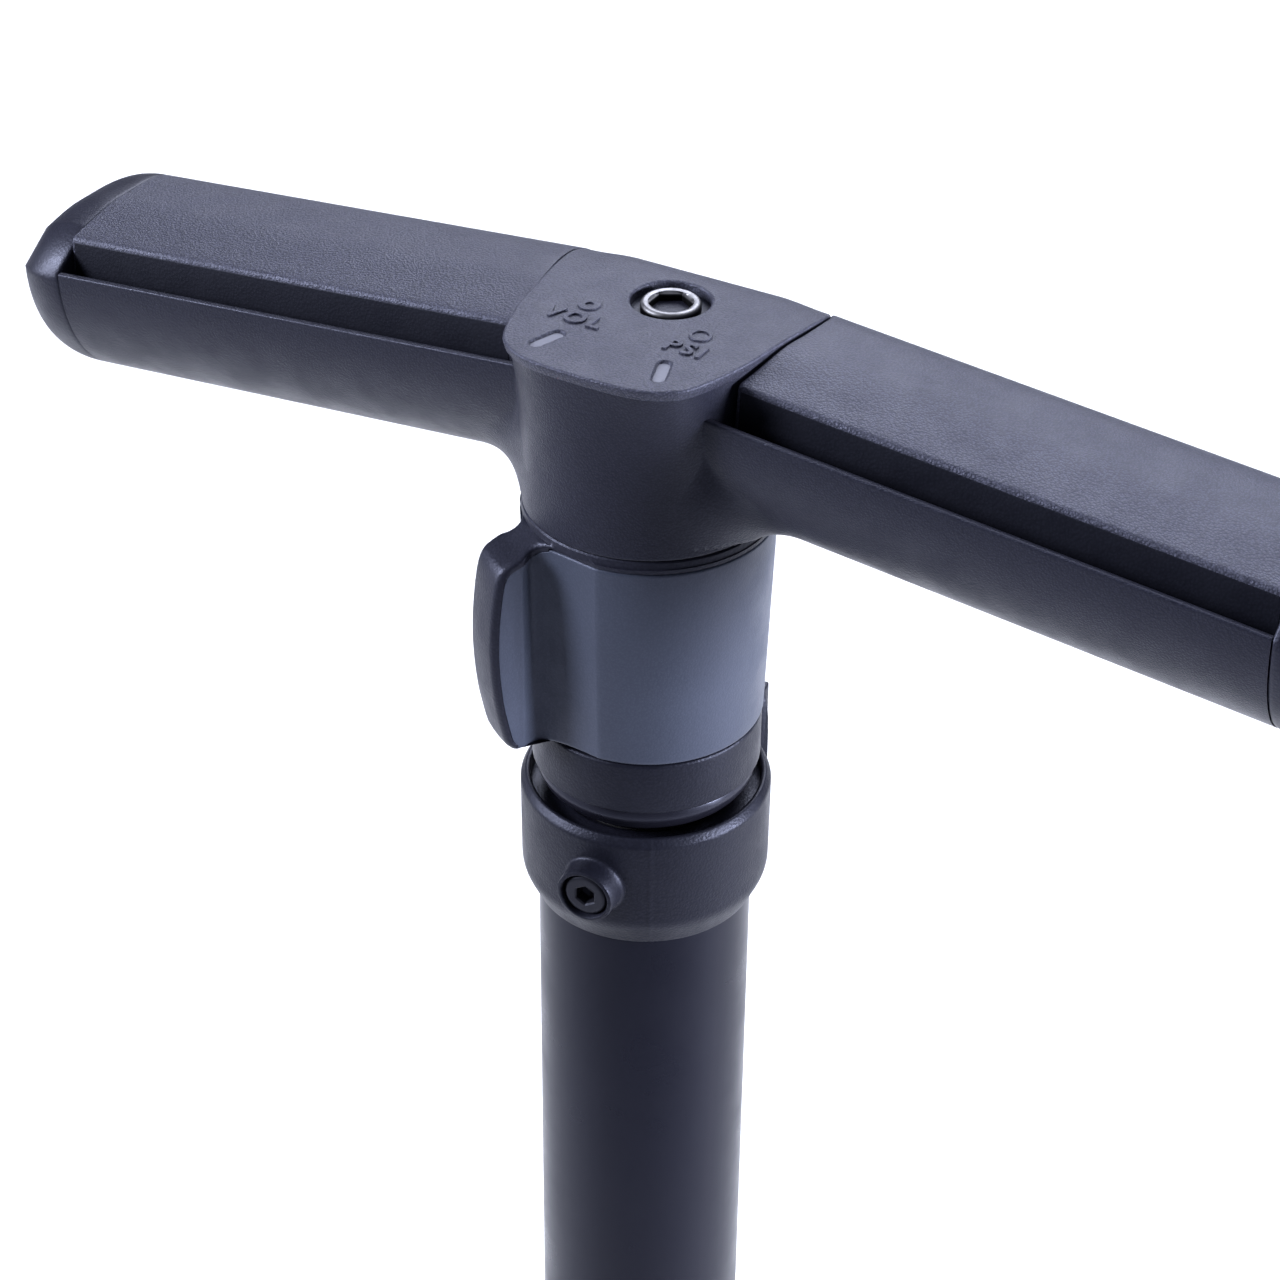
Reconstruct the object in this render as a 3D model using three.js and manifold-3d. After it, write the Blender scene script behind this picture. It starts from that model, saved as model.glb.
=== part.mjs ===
// Dual-mode floor pump: T handle with a volume/pressure selector, clamp collar, barrel and foot base.
// Millimetres, +Z up. The origin is on the pump's axis, on the floor. The front faces -Y.

import * as THREE from 'three';
import { mergeVertices } from 'three/addons/utils/BufferGeometryUtils.js';
import Module from 'manifold-3d';

const wasm = await Module();
wasm.setup();

// ---- Driving dimensions -------------------------------------------------------------------

const CLEAR = 0.3; // gap between pieces that seat on each other
const RUN = 0.35; // radial gap between pieces that slide or turn on each other

const COLLAR_Z = 545; // lower edge of the clamp collar above the floor
const HANDLE_WIDTH = 250;
const BASE_WIDTH = 244;

const BARREL_R = 19;
const BARREL_WALL = 1.5;
const BARREL_TOP = 16.2; // barrel's top edge above the collar's lower edge

const ROD_R = 11;
const ROD_WALL = 1.4;
const INNER_WALL = 1.3;
const PLUNGER_R = 6;
const PLUNGER_WALL = 1.8;

const COLLAR_WALL = 2.8;
const COLLAR_HEIGHT = 23.8;
const CAP_TOP = 21;
const BUSH_WALL = 2.7;

const STOP_RING_R = 20;
const STOP_RING_Z = 28.1;
const SELECTOR_Z = 38.6; // lower edge of the selector above the collar's lower edge
const SELECTOR_HEIGHT = 39.3;
const SELECTOR_FOOT_R = 20.2;
const SELECTOR_TOP_R = 21.5;
const SELECTOR_WALL = 1.2;
const PADDLE_REACH = 31.6;
const PADDLE_HALF = 4.6;
const MARK_AZIMUTH = 34; // degrees from the front to each selector mark

const HUB_R = 21.15;
const HUB_Z = 79.8;
const PLATE_Z = 113; // top face of the hub cover
const PLATE_THICK = 3.5;
const ARM_DROOP = 0.092; // fall of each arm per millimetre of reach
const ARM_SEAT_Z = 103.7;
const ARM_BOTTOM_Z = 82.7;
const ARM_MID_Y = 4.2;
const ARM_HALF_DEPTH = 17.8;
const ARM_LIP_Z = 107;
const PAD_TOP_Z = 114.4;
const PAD_FRONT_Y = -8.9;
const END_CAP_LENGTH = 14;
const BOLT_Y = 6.4;
const BOLT_HEAD_R = 5;
const BOLT_R = 3;
const HEAD_BLOCK_R = 15;
const HEAD_BLOCK_Z = 88;
const HEAD_BLOCK_TOP = 100.7;

const CLAMP_BOLT_HEAD_R = 4.25;
const CLAMP_BOLT_R = 2.5;
const BOSS_R = 5.2;
const BOSS_STAND = 3.9; // how far the boss stands out of the collar
const BOSS_Z = 13.1;
const BOSS_AZIMUTH = 5.8; // degrees from the front towards the right end of the handle
const CLAMP_SOCKET = 3.2; // across the flats of the clamp bolt's socket
const HANDLE_SOCKET = 6; // across the flats of the handle bolt's socket
const CLIP_BORE_R = 5.2;
const CLIP_WALL = 2;

const PISTON_Z = 62;
const PISTON_HEIGHT = 18;
const SEAL_DEPTH = 2.9;
const SEAL_HEIGHT = 6;

const SOLE_HEIGHT = 4.7;
const BASE_BOTTOM = SOLE_HEIGHT + CLEAR;
const BASE_THICK = 13;
const BASE_DEPTH_FRONT = 92;
const BASE_DEPTH_REAR = 66;
const SOCKET_WALL = 5.2;
const SOCKET_TOP = 60;
const BARREL_FOOT_Z = 24;
const PASSAGE_Z = 13;
const PASSAGE_R = 2.5;
const VALVE_R = 8.7;
const VALVE_Z = 16.3;
const BALL_R = 3;
const BALL_Z = 19.3;
const TREAD_THICK = 3;
const TREAD_RECESS = 1.5;

const GAUGE_R = 31.5;
const GAUGE_DEPTH = 20;
const GAUGE_WALL = 2;
const GAUGE_Y = -57;
const GAUGE_Z = 28;
const GAUGE_TILT = 35; // degrees that the dial leans forward from level
const BEZEL_WALL = 2.2;
const BEZEL_FOOT = 10; // lower edge of the bezel above the housing's back
const NEEDLE_REST = 225; // degrees, counter-clockwise from the dial's right

const ROUND = 32; // sides of a large round
const COLLAR_SIDES = 40;
const MID = 24; // sides of an inner round
const SMALL = 16; // sides of a small round

// ---- Values that follow -------------------------------------------------------------------

const BARREL_BORE = BARREL_R - BARREL_WALL;
const ROD_BORE = ROD_R - ROD_WALL;
const INNER_R = ROD_BORE - CLEAR;
const INNER_BORE = INNER_R - INNER_WALL;
const BASE_TOP = BASE_BOTTOM + BASE_THICK;
const SOCKET_R = BARREL_R + CLEAR + SOCKET_WALL;
const SELECTOR_TOP = SELECTOR_Z + SELECTOR_HEIGHT;
const PLATE_FLOOR = PLATE_Z - PLATE_THICK;
const COLLAR_R = BARREL_R + CLEAR + COLLAR_WALL;
const BOSS_REACH = COLLAR_R + BOSS_STAND;
const BUSH_R = ROD_R + RUN + BUSH_WALL;
const CAP_POCKET_R = BUSH_R + CLEAR;
const HALF_TURN = Math.PI;
const rad = THREE.MathUtils.degToRad;

// ---- Materials ----------------------------------------------------------------------------

const paint = (color, roughness, metalness = 0) =>
  new THREE.MeshStandardMaterial({ color, roughness, metalness });

const blackPlastic = paint('#1b1c22', 0.55);
const gripRubber = paint('#33343d', 0.8);
const slatePlastic = paint('#3c4654', 0.5);
const blackTube = paint('#14151b', 0.3, 0.4);
const glossRubber = paint('#101116', 0.25);
const blackSteel = paint('#24252a', 0.35, 0.9);
const steel = paint('#9a9da3', 0.3, 1);
const brass = paint('#b08d4a', 0.35, 1);
const sealRubber = paint('#17171a', 0.9);
const alloy = paint('#a8abb0', 0.4, 1);
const markPaint = paint('#8f9096', 0.6);
const dialWhite = paint('#e9e9e4', 0.6);
const needleRed = paint('#b8281e', 0.5);
const lensClear = paint('#dfe6ea', 0.05);
const basePlastic = paint('#202127', 0.6);

// ---- Solid helpers ------------------------------------------------------------------------

// Signed volume of a closed, indexed mesh.
function volumeOf(geometry) {
  const p = geometry.attributes.position;
  const corner = [0, 1, 2].map(() => new THREE.Vector3());
  let sum = 0;
  for (let i = 0; i < geometry.index.count; i += 3) {
    corner.forEach((v, k) => v.fromBufferAttribute(p, geometry.index.getX(i + k)));
    sum += corner[0].dot(corner[1].clone().cross(corner[2])) / 6;
  }
  return sum;
}

// Shares the corners of a closed surface, drops collapsed triangles and turns its faces out.
function weld(geometry) {
  const bare = geometry.clone();
  bare.deleteAttribute('normal');
  bare.deleteAttribute('uv');
  const merged = mergeVertices(bare, 1e-4);
  const old = merged.index.array;
  const kept = [];
  for (let i = 0; i < old.length; i += 3) {
    const [a, b, c] = [old[i], old[i + 1], old[i + 2]];
    if (a !== b && b !== c && c !== a) kept.push(a, b, c);
  }
  merged.setIndex(kept);
  if (volumeOf(merged) < 0) merged.setIndex(kept.reverse());
  return merged;
}

// Turns a closed geometry into a solid that can be joined and cut.
function solid(geometry) {
  const welded = weld(geometry);
  return new wasm.Manifold(new wasm.Mesh({
    numProp: 3,
    vertProperties: new Float32Array(welded.attributes.position.array),
    triVerts: new Uint32Array(welded.index.array),
  }));
}

function geometryOf(body) {
  const mesh = body.getMesh();
  const geometry = new THREE.BufferGeometry();
  geometry.setAttribute('position', new THREE.BufferAttribute(mesh.vertProperties, 3));
  geometry.setIndex(new THREE.BufferAttribute(mesh.triVerts, 1));
  return geometry;
}

// Turns an [r, z] profile about Z. It starts and ends on the axis, or is closed into a ring.
function turned(profile, sides = ROUND) {
  const points = profile.map(([r, z]) => new THREE.Vector2(r, z));
  const onAxis = points[0].x === 0 && points.at(-1).x === 0;
  if (!onAxis) points.push(points[0].clone());
  return new THREE.LatheGeometry(points, sides).rotateX(HALF_TURN / 2);
}

const ring = (inner, outer, low, high, sides = ROUND) =>
  turned([[inner, low], [outer, low], [outer, high], [inner, high]], sides);

const disc = (radius, low, high, sides = ROUND) =>
  turned([[0, low], [radius, low], [radius, high], [0, high]], sides);

// A round bar lying along a horizontal direction, from one reach to another at height z.
function radialBar(radius, near, far, z, azimuth, sides = SMALL) {
  const bar = disc(radius, near, far, sides).rotateX(HALF_TURN / 2);
  return bar.rotateZ(rad(azimuth)).translate(0, 0, z);
}

// Extrudes a plan outline upwards, with an optional chamfer on its edges.
function slab(shape, low, high, chamfer = 0, curveSegments = 8) {
  const options = {
    depth: high - low - 2 * chamfer,
    bevelEnabled: chamfer > 0,
    bevelThickness: chamfer,
    bevelSize: chamfer,
    bevelOffset: -chamfer,
    bevelSegments: 1,
    curveSegments,
  };
  return new THREE.ExtrudeGeometry(shape, options).translate(0, 0, low + chamfer);
}

const block = (x0, x1, y0, y1, z0, z1) =>
  new THREE.BoxGeometry(x1 - x0, y1 - y0, z1 - z0)
    .translate((x0 + x1) / 2, (y0 + y1) / 2, (z0 + z1) / 2);

// A closed outline from a half outline given at x >= 0, from front to back, and its mirror.
function mirroredShape(half) {
  const left = half.slice(1, -1).reverse().map(([x, y]) => [-x, y]);
  return new THREE.Shape([...half, ...left].map(([x, y]) => new THREE.Vector2(x, y)));
}

// Points of a smooth curve through the given points.
function smooth(points, count) {
  const curve = new THREE.SplineCurve(points.map(([x, y]) => new THREE.Vector2(x, y)));
  return curve.getPoints(count).map((p) => [p.x, p.y]);
}

const hexSocket = (acrossFlats, low, high) =>
  turned([[0, low], [1, low], [1, high], [0, high]], 6)
    .scale(acrossFlats / Math.sqrt(3), acrossFlats / Math.sqrt(3), 1);

// ---- Assembly -----------------------------------------------------------------------------

const pump = new THREE.Group();
const top = new THREE.Group();
top.position.z = COLLAR_Z;
const gauge = new THREE.Group();
gauge.position.set(0, GAUGE_Y, GAUGE_Z);
gauge.rotation.x = rad(GAUGE_TILT);
pump.add(top, gauge);

function add(parent, name, shape, material) {
  const isBody = shape instanceof wasm.Manifold;
  const mesh = new THREE.Mesh(isBody ? geometryOf(shape) : weld(shape), material);
  mesh.name = name;
  parent.add(mesh);
}

// ---- Barrel, cap and clamp collar ---------------------------------------------------------

function addBarrel() {
  add(pump, 'barrel_tube', ring(BARREL_BORE, BARREL_R, BARREL_FOOT_Z, COLLAR_Z + BARREL_TOP), blackTube);

  const neckR = ROD_R + 2 * RUN;
  const flangeZ = BARREL_TOP + CLEAR;
  const capFoot = -8;
  const bushTop = 12;
  const capProfile = [
    [CAP_POCKET_R, capFoot], [BARREL_BORE - CLEAR, capFoot], [BARREL_BORE - CLEAR, flangeZ],
    [COLLAR_R - 1.5, flangeZ], [COLLAR_R - 1.5, CAP_TOP], [CAP_POCKET_R, CAP_TOP],
    [CAP_POCKET_R, BARREL_TOP + CLEAR], [neckR, BARREL_TOP + CLEAR],
    [neckR, bushTop + CLEAR], [CAP_POCKET_R, bushTop + CLEAR],
  ];
  add(top, 'barrel_cap', turned(capProfile), blackPlastic);
  add(top, 'rod_bushing', ring(ROD_R + RUN, BUSH_R, capFoot, bushTop, MID), brass);
  const wiperFoot = flangeZ + CLEAR;
  const wiperProfile = [
    [ROD_R + RUN, CAP_TOP - 1.2], [ROD_R + 1.2, wiperFoot], [BUSH_R, wiperFoot], [BUSH_R, CAP_TOP - 0.6],
  ];
  add(top, 'rod_wiper', turned(wiperProfile, MID), sealRubber);
}

function addCollar() {
  const bore = BARREL_R + CLEAR;
  const bowl = COLLAR_R - 1.15;
  const wall = turned([
    [bore, 0.5], [bore + 0.5, 0], [COLLAR_R - 1, 1.2], [COLLAR_R - 0.1, 4.4], [COLLAR_R, COLLAR_HEIGHT - 1.7],
    [COLLAR_R - 1, COLLAR_HEIGHT], [bowl, COLLAR_HEIGHT - 0.6], [bowl, BARREL_TOP + CLEAR],
    [bore, BARREL_TOP],
  ], COLLAR_SIDES);
  const seat = BOSS_REACH - 3.4;
  const collar = solid(wall)
    .add(solid(radialBar(BOSS_R, bore + 0.6, BOSS_REACH, BOSS_Z, BOSS_AZIMUTH)))
    .subtract(solid(disc(bowl, BARREL_TOP + CLEAR, COLLAR_HEIGHT + 1, COLLAR_SIDES)))
    .subtract(solid(radialBar(CLAMP_BOLT_HEAD_R + CLEAR, seat, BOSS_REACH + 1, BOSS_Z, BOSS_AZIMUTH)))
    .subtract(solid(radialBar(CLAMP_BOLT_R + CLEAR, bore - 2, seat + 1, BOSS_Z, BOSS_AZIMUTH)));
  add(top, 'clamp_collar', collar, blackPlastic);

  const headTop = BOSS_REACH - 0.4;
  const bolt = solid(turned([
    [0, bore + 0.1], [CLAMP_BOLT_R, bore + 0.1], [CLAMP_BOLT_R, seat + CLEAR],
    [CLAMP_BOLT_HEAD_R, seat + CLEAR],
    [CLAMP_BOLT_HEAD_R, headTop - 0.4], [CLAMP_BOLT_HEAD_R - 0.4, headTop], [0, headTop],
  ], SMALL)).subtract(solid(hexSocket(CLAMP_SOCKET, headTop - 2, headTop + 1)));
  const placed = geometryOf(bolt).rotateX(HALF_TURN / 2).rotateZ(rad(BOSS_AZIMUTH)).translate(0, 0, BOSS_Z);
  add(top, 'clamp_bolt', placed, blackSteel);

  // Hose clip: a curved plate behind the collar that carries an open ring.
  const plateIn = COLLAR_R + CLEAR;
  const plateOut = plateIn + CLIP_WALL;
  const halfAngle = rad(34);
  const plate = new THREE.Shape();
  plate.absarc(0, 0, plateOut, HALF_TURN / 2 - halfAngle, HALF_TURN / 2 + halfAngle, false);
  plate.absarc(0, 0, plateIn, HALF_TURN / 2 + halfAngle, HALF_TURN / 2 - halfAngle, true);
  const clipY = plateOut + CLIP_BORE_R + CLIP_WALL - 0.8;
  const clipOut = CLIP_BORE_R + CLIP_WALL;
  const mouth = rad(55);
  const clip = new THREE.Shape();
  clip.absarc(0, clipY, clipOut, HALF_TURN / 2 + mouth, HALF_TURN / 2 - mouth + 2 * HALF_TURN, false);
  clip.absarc(0, clipY, CLIP_BORE_R, HALF_TURN / 2 - mouth, HALF_TURN / 2 + mouth - 2 * HALF_TURN, true);
  const body = solid(slab(plate, 4, 33.8, 0, 10)).add(solid(slab(clip, 7, 24, 0, 14)));
  add(top, 'hose_clip', body, blackPlastic);
}

// ---- Piston, rod and the small high-pressure cylinder --------------------------------------

const PIN_Z = 58;
const PIN_R = 1.5;
const PIN_AZIMUTH = -MARK_AZIMUTH;
const INNER_FLOOR_Z = 50;
const INNER_TOP_Z = 68;
const PLUNGER_TOP_Z = 46;
const PLUNGER_HEAD_LENGTH = 12;

// A sector of a disc from one azimuth to another, for the slots that let the pin swing.
function sector(radius, low, high, from, to) {
  const shape = new THREE.Shape();
  shape.moveTo(0, 0);
  shape.absarc(0, 0, radius, rad(from), rad(to), false);
  shape.lineTo(0, 0);
  return slab(shape, low, high, 0, 10);
}

function addPiston() {
  const rodFoot = PISTON_Z + 4;
  const swing = 2 * MARK_AZIMUTH;
  const extra = THREE.MathUtils.radToDeg((PIN_R + 2 * CLEAR) / ROD_BORE);
  const start = PIN_AZIMUTH - 90 - extra;
  const pinZ = COLLAR_Z + PIN_Z;
  const slot = (turn) => solid(sector(ROD_R + 5, pinZ - PIN_R - CLEAR, pinZ + PIN_R + CLEAR,
    start + turn, start + swing + 2 * extra + turn));
  const rod = solid(ring(ROD_BORE, ROD_R, rodFoot, COLLAR_Z + HEAD_BLOCK_Z - CLEAR, ROUND))
    .subtract(slot(0))
    .subtract(slot(180));
  add(pump, 'piston_rod', rod, steel);

  const innerPin = radialBar(PIN_R + CLEAR, -ROD_R, ROD_R, pinZ, PIN_AZIMUTH, 12);
  const inner = solid(turned([
    [0, COLLAR_Z + INNER_FLOOR_Z], [INNER_BORE, COLLAR_Z + INNER_FLOOR_Z], [INNER_BORE, PISTON_Z + 2],
    [INNER_R, PISTON_Z + 2], [INNER_R, COLLAR_Z + INNER_TOP_Z], [0, COLLAR_Z + INNER_TOP_Z],
  ], MID)).subtract(solid(innerPin));
  add(pump, 'inner_tube', inner, alloy);
  add(top, 'selector_pin', radialBar(PIN_R, -ROD_R - 3, ROD_R + 3, PIN_Z, PIN_AZIMUTH, 12), steel);

  const rim = BARREL_BORE - RUN;
  const groove = BARREL_BORE - SEAL_DEPTH - CLEAR;
  const grooveLow = PISTON_Z + (PISTON_HEIGHT - SEAL_HEIGHT) / 2;
  const grooveHigh = grooveLow + SEAL_HEIGHT;
  const lip = INNER_R + RUN;
  add(pump, 'piston_body', turned([
    [lip, PISTON_Z], [rim, PISTON_Z], [rim, grooveLow - CLEAR], [groove, grooveLow - CLEAR],
    [groove, grooveHigh + CLEAR], [rim, grooveHigh + CLEAR], [rim, PISTON_Z + PISTON_HEIGHT],
    [ROD_R + CLEAR, PISTON_Z + PISTON_HEIGHT], [ROD_R + CLEAR, rodFoot - CLEAR], [lip, rodFoot - CLEAR],
  ], MID), alloy);
  add(pump, 'piston_seal', turned([
    [groove + CLEAR, grooveLow], [BARREL_BORE - 1.2, grooveLow], [BARREL_BORE - 0.2, grooveLow + 1.2],
    [BARREL_BORE - 0.2, grooveHigh - 1.2], [BARREL_BORE - 1.2, grooveHigh], [groove + CLEAR, grooveHigh],
  ], MID), sealRubber);
}

function addPlunger() {
  const bore = PLUNGER_R - PLUNGER_WALL;
  const headFoot = COLLAR_Z + PLUNGER_TOP_Z - PLUNGER_HEAD_LENGTH;
  const flangeR = BARREL_BORE - 3;
  add(pump, 'plunger_tube', turned([
    [bore, BARREL_FOOT_Z], [flangeR, BARREL_FOOT_Z], [flangeR, BARREL_FOOT_Z + 5],
    [PLUNGER_R, BARREL_FOOT_Z + 7],
    [PLUNGER_R, headFoot], [bore, headFoot],
  ], MID), alloy);
  const headR = INNER_BORE - RUN;
  const groove = headR - 1.4;
  const headTop = COLLAR_Z + PLUNGER_TOP_Z;
  const sealLow = headTop - 5;
  const sealHigh = headTop - 2;
  add(pump, 'plunger_head', turned([
    [bore - CLEAR, headFoot - 4], [bore - CLEAR, headFoot + CLEAR], [headR, headFoot + CLEAR],
    [headR, sealLow - CLEAR], [groove, sealLow - CLEAR], [groove, sealHigh + CLEAR],
    [headR, sealHigh + CLEAR], [headR, headTop], [1.5, headTop], [1.5, headFoot - 4],
  ], SMALL + 4), brass);
  add(pump, 'plunger_seal', ring(groove + CLEAR, INNER_BORE - 0.2, sealLow, sealHigh, SMALL + 4), sealRubber);
}

// ---- Stop ring, bumper and selector --------------------------------------------------------

function addStopRing() {
  const bore = ROD_R + CLEAR;
  const foot = CAP_TOP + CLEAR;
  const lipTop = STOP_RING_Z - CLEAR;
  add(top, 'bumper_ring', turned([
    [bore, foot], [CAP_POCKET_R + 1, foot], [CAP_POCKET_R + 1.7, foot + 2.6],
    [STOP_RING_R - 1.8, lipTop - 3.2],
    [STOP_RING_R - 0.7, lipTop - 2.2], [STOP_RING_R - 0.5, lipTop - 1], [STOP_RING_R - 0.8, lipTop],
    [bore, lipTop],
  ]), glossRubber);
  const ringTop = SELECTOR_Z - CLEAR;
  add(top, 'retaining_ring', turned([
    [bore, STOP_RING_Z], [STOP_RING_R - 0.3, STOP_RING_Z], [STOP_RING_R, STOP_RING_Z + 0.4],
    [STOP_RING_R, ringTop - 0.4], [STOP_RING_R - 0.4, ringTop], [bore, ringTop],
  ]), blackPlastic);
}

// Side outline of the paddle, [reach, z], as a slab across the paddle that trims its plan.
function paddleTrim() {
  const z0 = SELECTOR_Z;
  const z1 = SELECTOR_TOP;
  const side = new THREE.Shape();
  side.moveTo(-4, z0);
  side.lineTo(PADDLE_REACH - 4, z0);
  side.quadraticCurveTo(PADDLE_REACH - 2.9, z0 + 0.6, PADDLE_REACH - 2.2, z0 + 5);
  side.quadraticCurveTo(PADDLE_REACH + 1, z0 + 20, PADDLE_REACH - 1.9, z1 - 8);
  side.quadraticCurveTo(PADDLE_REACH - 2.4, z1 - 3.5, PADDLE_REACH - 3.8, z1 - 2.9);
  side.lineTo(SELECTOR_TOP_R - 0.5, z1);
  side.lineTo(-4, z1);
  return new THREE.ExtrudeGeometry(side, { depth: 60, bevelEnabled: false, curveSegments: 6 })
    .rotateX(HALF_TURN / 2).translate(0, 30, 0);
}

// Plan of the black back and tip of the paddle, grown by a gap on the side of its cover.
function paddleBack(gap) {
  const tip = PADDLE_REACH - 2.2 - gap;
  const split = 0.7 + gap;
  const angle = rad(40) + gap / SELECTOR_TOP_R;
  const r = SELECTOR_TOP_R + gap;
  const shape = new THREE.Shape();
  shape.moveTo(SELECTOR_FOOT_R - 3, split);
  shape.lineTo(tip, split);
  shape.lineTo(tip, PADDLE_HALF - 0.3);
  shape.lineTo(PADDLE_REACH - 0.6, PADDLE_HALF - 0.5);
  shape.quadraticCurveTo(PADDLE_REACH + 1, 0, PADDLE_REACH - 0.6, -PADDLE_HALF + 0.5);
  shape.lineTo(PADDLE_REACH - 3, -PADDLE_HALF - gap);
  shape.quadraticCurveTo(r + 0.5, -PADDLE_HALF - 0.3 - gap, r * Math.cos(angle), -r * Math.sin(angle));
  shape.lineTo((SELECTOR_FOOT_R - 3) * Math.cos(angle), -(SELECTOR_FOOT_R - 3) * Math.sin(angle));
  return slab(shape, SELECTOR_Z - 1, SELECTOR_TOP + 1, 0, 6);
}

function paddleFront() {
  const angle = rad(40);
  const tip = PADDLE_REACH - 2.2 - CLEAR;
  const r = SELECTOR_TOP_R;
  const shape = new THREE.Shape();
  shape.moveTo(SELECTOR_FOOT_R - 0.8, 0.7 + CLEAR);
  shape.lineTo(tip, 0.7 + CLEAR);
  shape.lineTo(tip, PADDLE_HALF - 0.4);
  shape.lineTo(tip - 1.4, PADDLE_HALF);
  shape.quadraticCurveTo(r + 0.5, PADDLE_HALF + 0.3, r * Math.cos(angle), r * Math.sin(angle));
  shape.lineTo((r - 0.9) * Math.cos(angle), (r - 0.9) * Math.sin(angle));
  return slab(shape, SELECTOR_Z - 1, SELECTOR_TOP + 1, 0, 6);
}

function addSelector() {
  const bore = ROD_R + RUN;
  const low = SELECTOR_Z;
  const high = SELECTOR_TOP;
  const footIn = SELECTOR_FOOT_R - SELECTOR_WALL;
  const topIn = SELECTOR_TOP_R - SELECTOR_WALL;
  const turnPaddle = (body) => body.rotate([0, 0, -90 - MARK_AZIMUTH]);
  const trim = solid(paddleTrim());
  const pinReach = ROD_R + 3 + CLEAR;
  const pinHole = solid(radialBar(PIN_R + CLEAR, -pinReach, pinReach, PIN_Z, PIN_AZIMUTH, 12));
  const rimFoot = high + CLEAR;
  const rimR = SELECTOR_TOP_R - 0.3;
  const core = solid(turned([
    [bore, low], [footIn - CLEAR, low], [topIn - CLEAR, rimFoot], [rimR, rimFoot],
    [rimR, HUB_Z - CLEAR], [bore, HUB_Z - CLEAR],
  ])).add(turnPaddle(solid(paddleBack(0)).intersect(trim))).subtract(pinHole);
  add(top, 'selector_core', core, blackPlastic);

  const sleeve = solid(turned([
    [footIn, low], [SELECTOR_FOOT_R, low], [SELECTOR_TOP_R, high], [topIn, high],
  ]));
  const inside = solid(turned([
    [0, low - 2], [footIn, low - 2], [footIn, low], [topIn, high], [topIn, high + 2], [0, high + 2],
  ]));
  const cover = sleeve
    .add(turnPaddle(solid(paddleFront()).intersect(trim)).subtract(inside))
    .subtract(turnPaddle(solid(paddleBack(CLEAR))));
  add(top, 'selector_cover', cover, slatePlastic);
}

// ---- Handle --------------------------------------------------------------------------------

// Half outline of the hub's top plate, from front to back, grown by an outset.
function plateHalf(outset) {
  const flank = smooth([[0, -23], [9, -22.5], [14, -20.5], [17.3, -17], [20.3, -8], [23.5, 14]], 14);
  const corner = smooth([[23.5, 14], [23, 18], [20.6, 20.8], [16.5, 21.8]], 5).slice(1);
  const half = [...flank, ...corner, [0, 21.8]];
  return half.map(([x, y]) => [x * (1 + outset / 20), y * (1 + outset / 22)]);
}

// Stretches a [y, z] section along +X from one reach to another, falling with the arm's droop.
function alongArm(section, from, to) {
  const shape = new THREE.Shape(section.map(([y, z]) => new THREE.Vector2(y, z)));
  const straight = new THREE.ExtrudeGeometry(shape, { depth: to - from, bevelEnabled: false })
    .translate(0, 0, from);
  const axes = new THREE.Matrix4().makeBasis(
    new THREE.Vector3(0, 1, 0), new THREE.Vector3(0, 0, 1), new THREE.Vector3(1, 0, -ARM_DROOP));
  return straight.applyMatrix4(axes);
}

// The lower half-oval of an arm, from its front lip to its back edge.
function armOval(steps, shrink = 0) {
  const points = [];
  for (let i = 0; i <= steps; i += 1) {
    const a = HALF_TURN + (HALF_TURN * i) / steps;
    const y = ARM_MID_Y + (ARM_HALF_DEPTH - shrink) * Math.cos(a);
    const z = ARM_LIP_Z + (ARM_LIP_Z - ARM_BOTTOM_Z - shrink) * Math.sin(a);
    points.push([y, z]);
  }
  return points;
}

const PAD_BACK_Y = ARM_MID_Y + ARM_HALF_DEPTH;

function armSection() {
  return [
    ...armOval(14), [PAD_BACK_Y - 1.5, ARM_LIP_Z], [PAD_BACK_Y - 2.8, ARM_SEAT_Z],
    [PAD_FRONT_Y - 1.9, ARM_SEAT_Z], [PAD_FRONT_Y - 3.3, ARM_LIP_Z],
  ];
}

function padSection() {
  const crown = smooth([
    [PAD_BACK_Y - 0.2, ARM_LIP_Z + 1.2], [PAD_BACK_Y - 0.9, PAD_TOP_Z - 4],
    [PAD_BACK_Y - 2.7, PAD_TOP_Z - 1.8], [PAD_BACK_Y - 5.5, PAD_TOP_Z - 0.4],
    [PAD_BACK_Y - 10, PAD_TOP_Z], [2, PAD_TOP_Z - 0.3], [PAD_FRONT_Y, PAD_TOP_Z - 2.1],
  ], 12);
  return [
    [PAD_FRONT_Y - 0.4, ARM_SEAT_Z + CLEAR], [PAD_BACK_Y - 3.2, ARM_SEAT_Z + CLEAR],
    [PAD_BACK_Y - 1.9, ARM_LIP_Z + CLEAR], [PAD_BACK_Y - 0.2, ARM_LIP_Z + CLEAR], ...crown,
  ];
}

// The hub's flank: a cylinder at its foot that flares smoothly into the top plate's outline.
function hubFlank() {
  const height = PLATE_FLOOR - CLEAR - HUB_Z;
  const flank = new THREE.ExtrudeGeometry(mirroredShape(plateHalf(0)), {
    depth: height, steps: 5, bevelEnabled: false,
  });
  const p = flank.attributes.position;
  for (let i = 0; i < p.count; i += 1) {
    const flare = (p.getZ(i) / height) ** 3;
    const angle = Math.atan2(p.getY(i), p.getX(i));
    const x = HUB_R * Math.cos(angle) * (1 - flare) + p.getX(i) * flare;
    const y = HUB_R * Math.sin(angle) * (1 - flare) + p.getY(i) * flare;
    p.setXYZ(i, x, y, p.getZ(i) + HUB_Z);
  }
  return flank;
}

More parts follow.
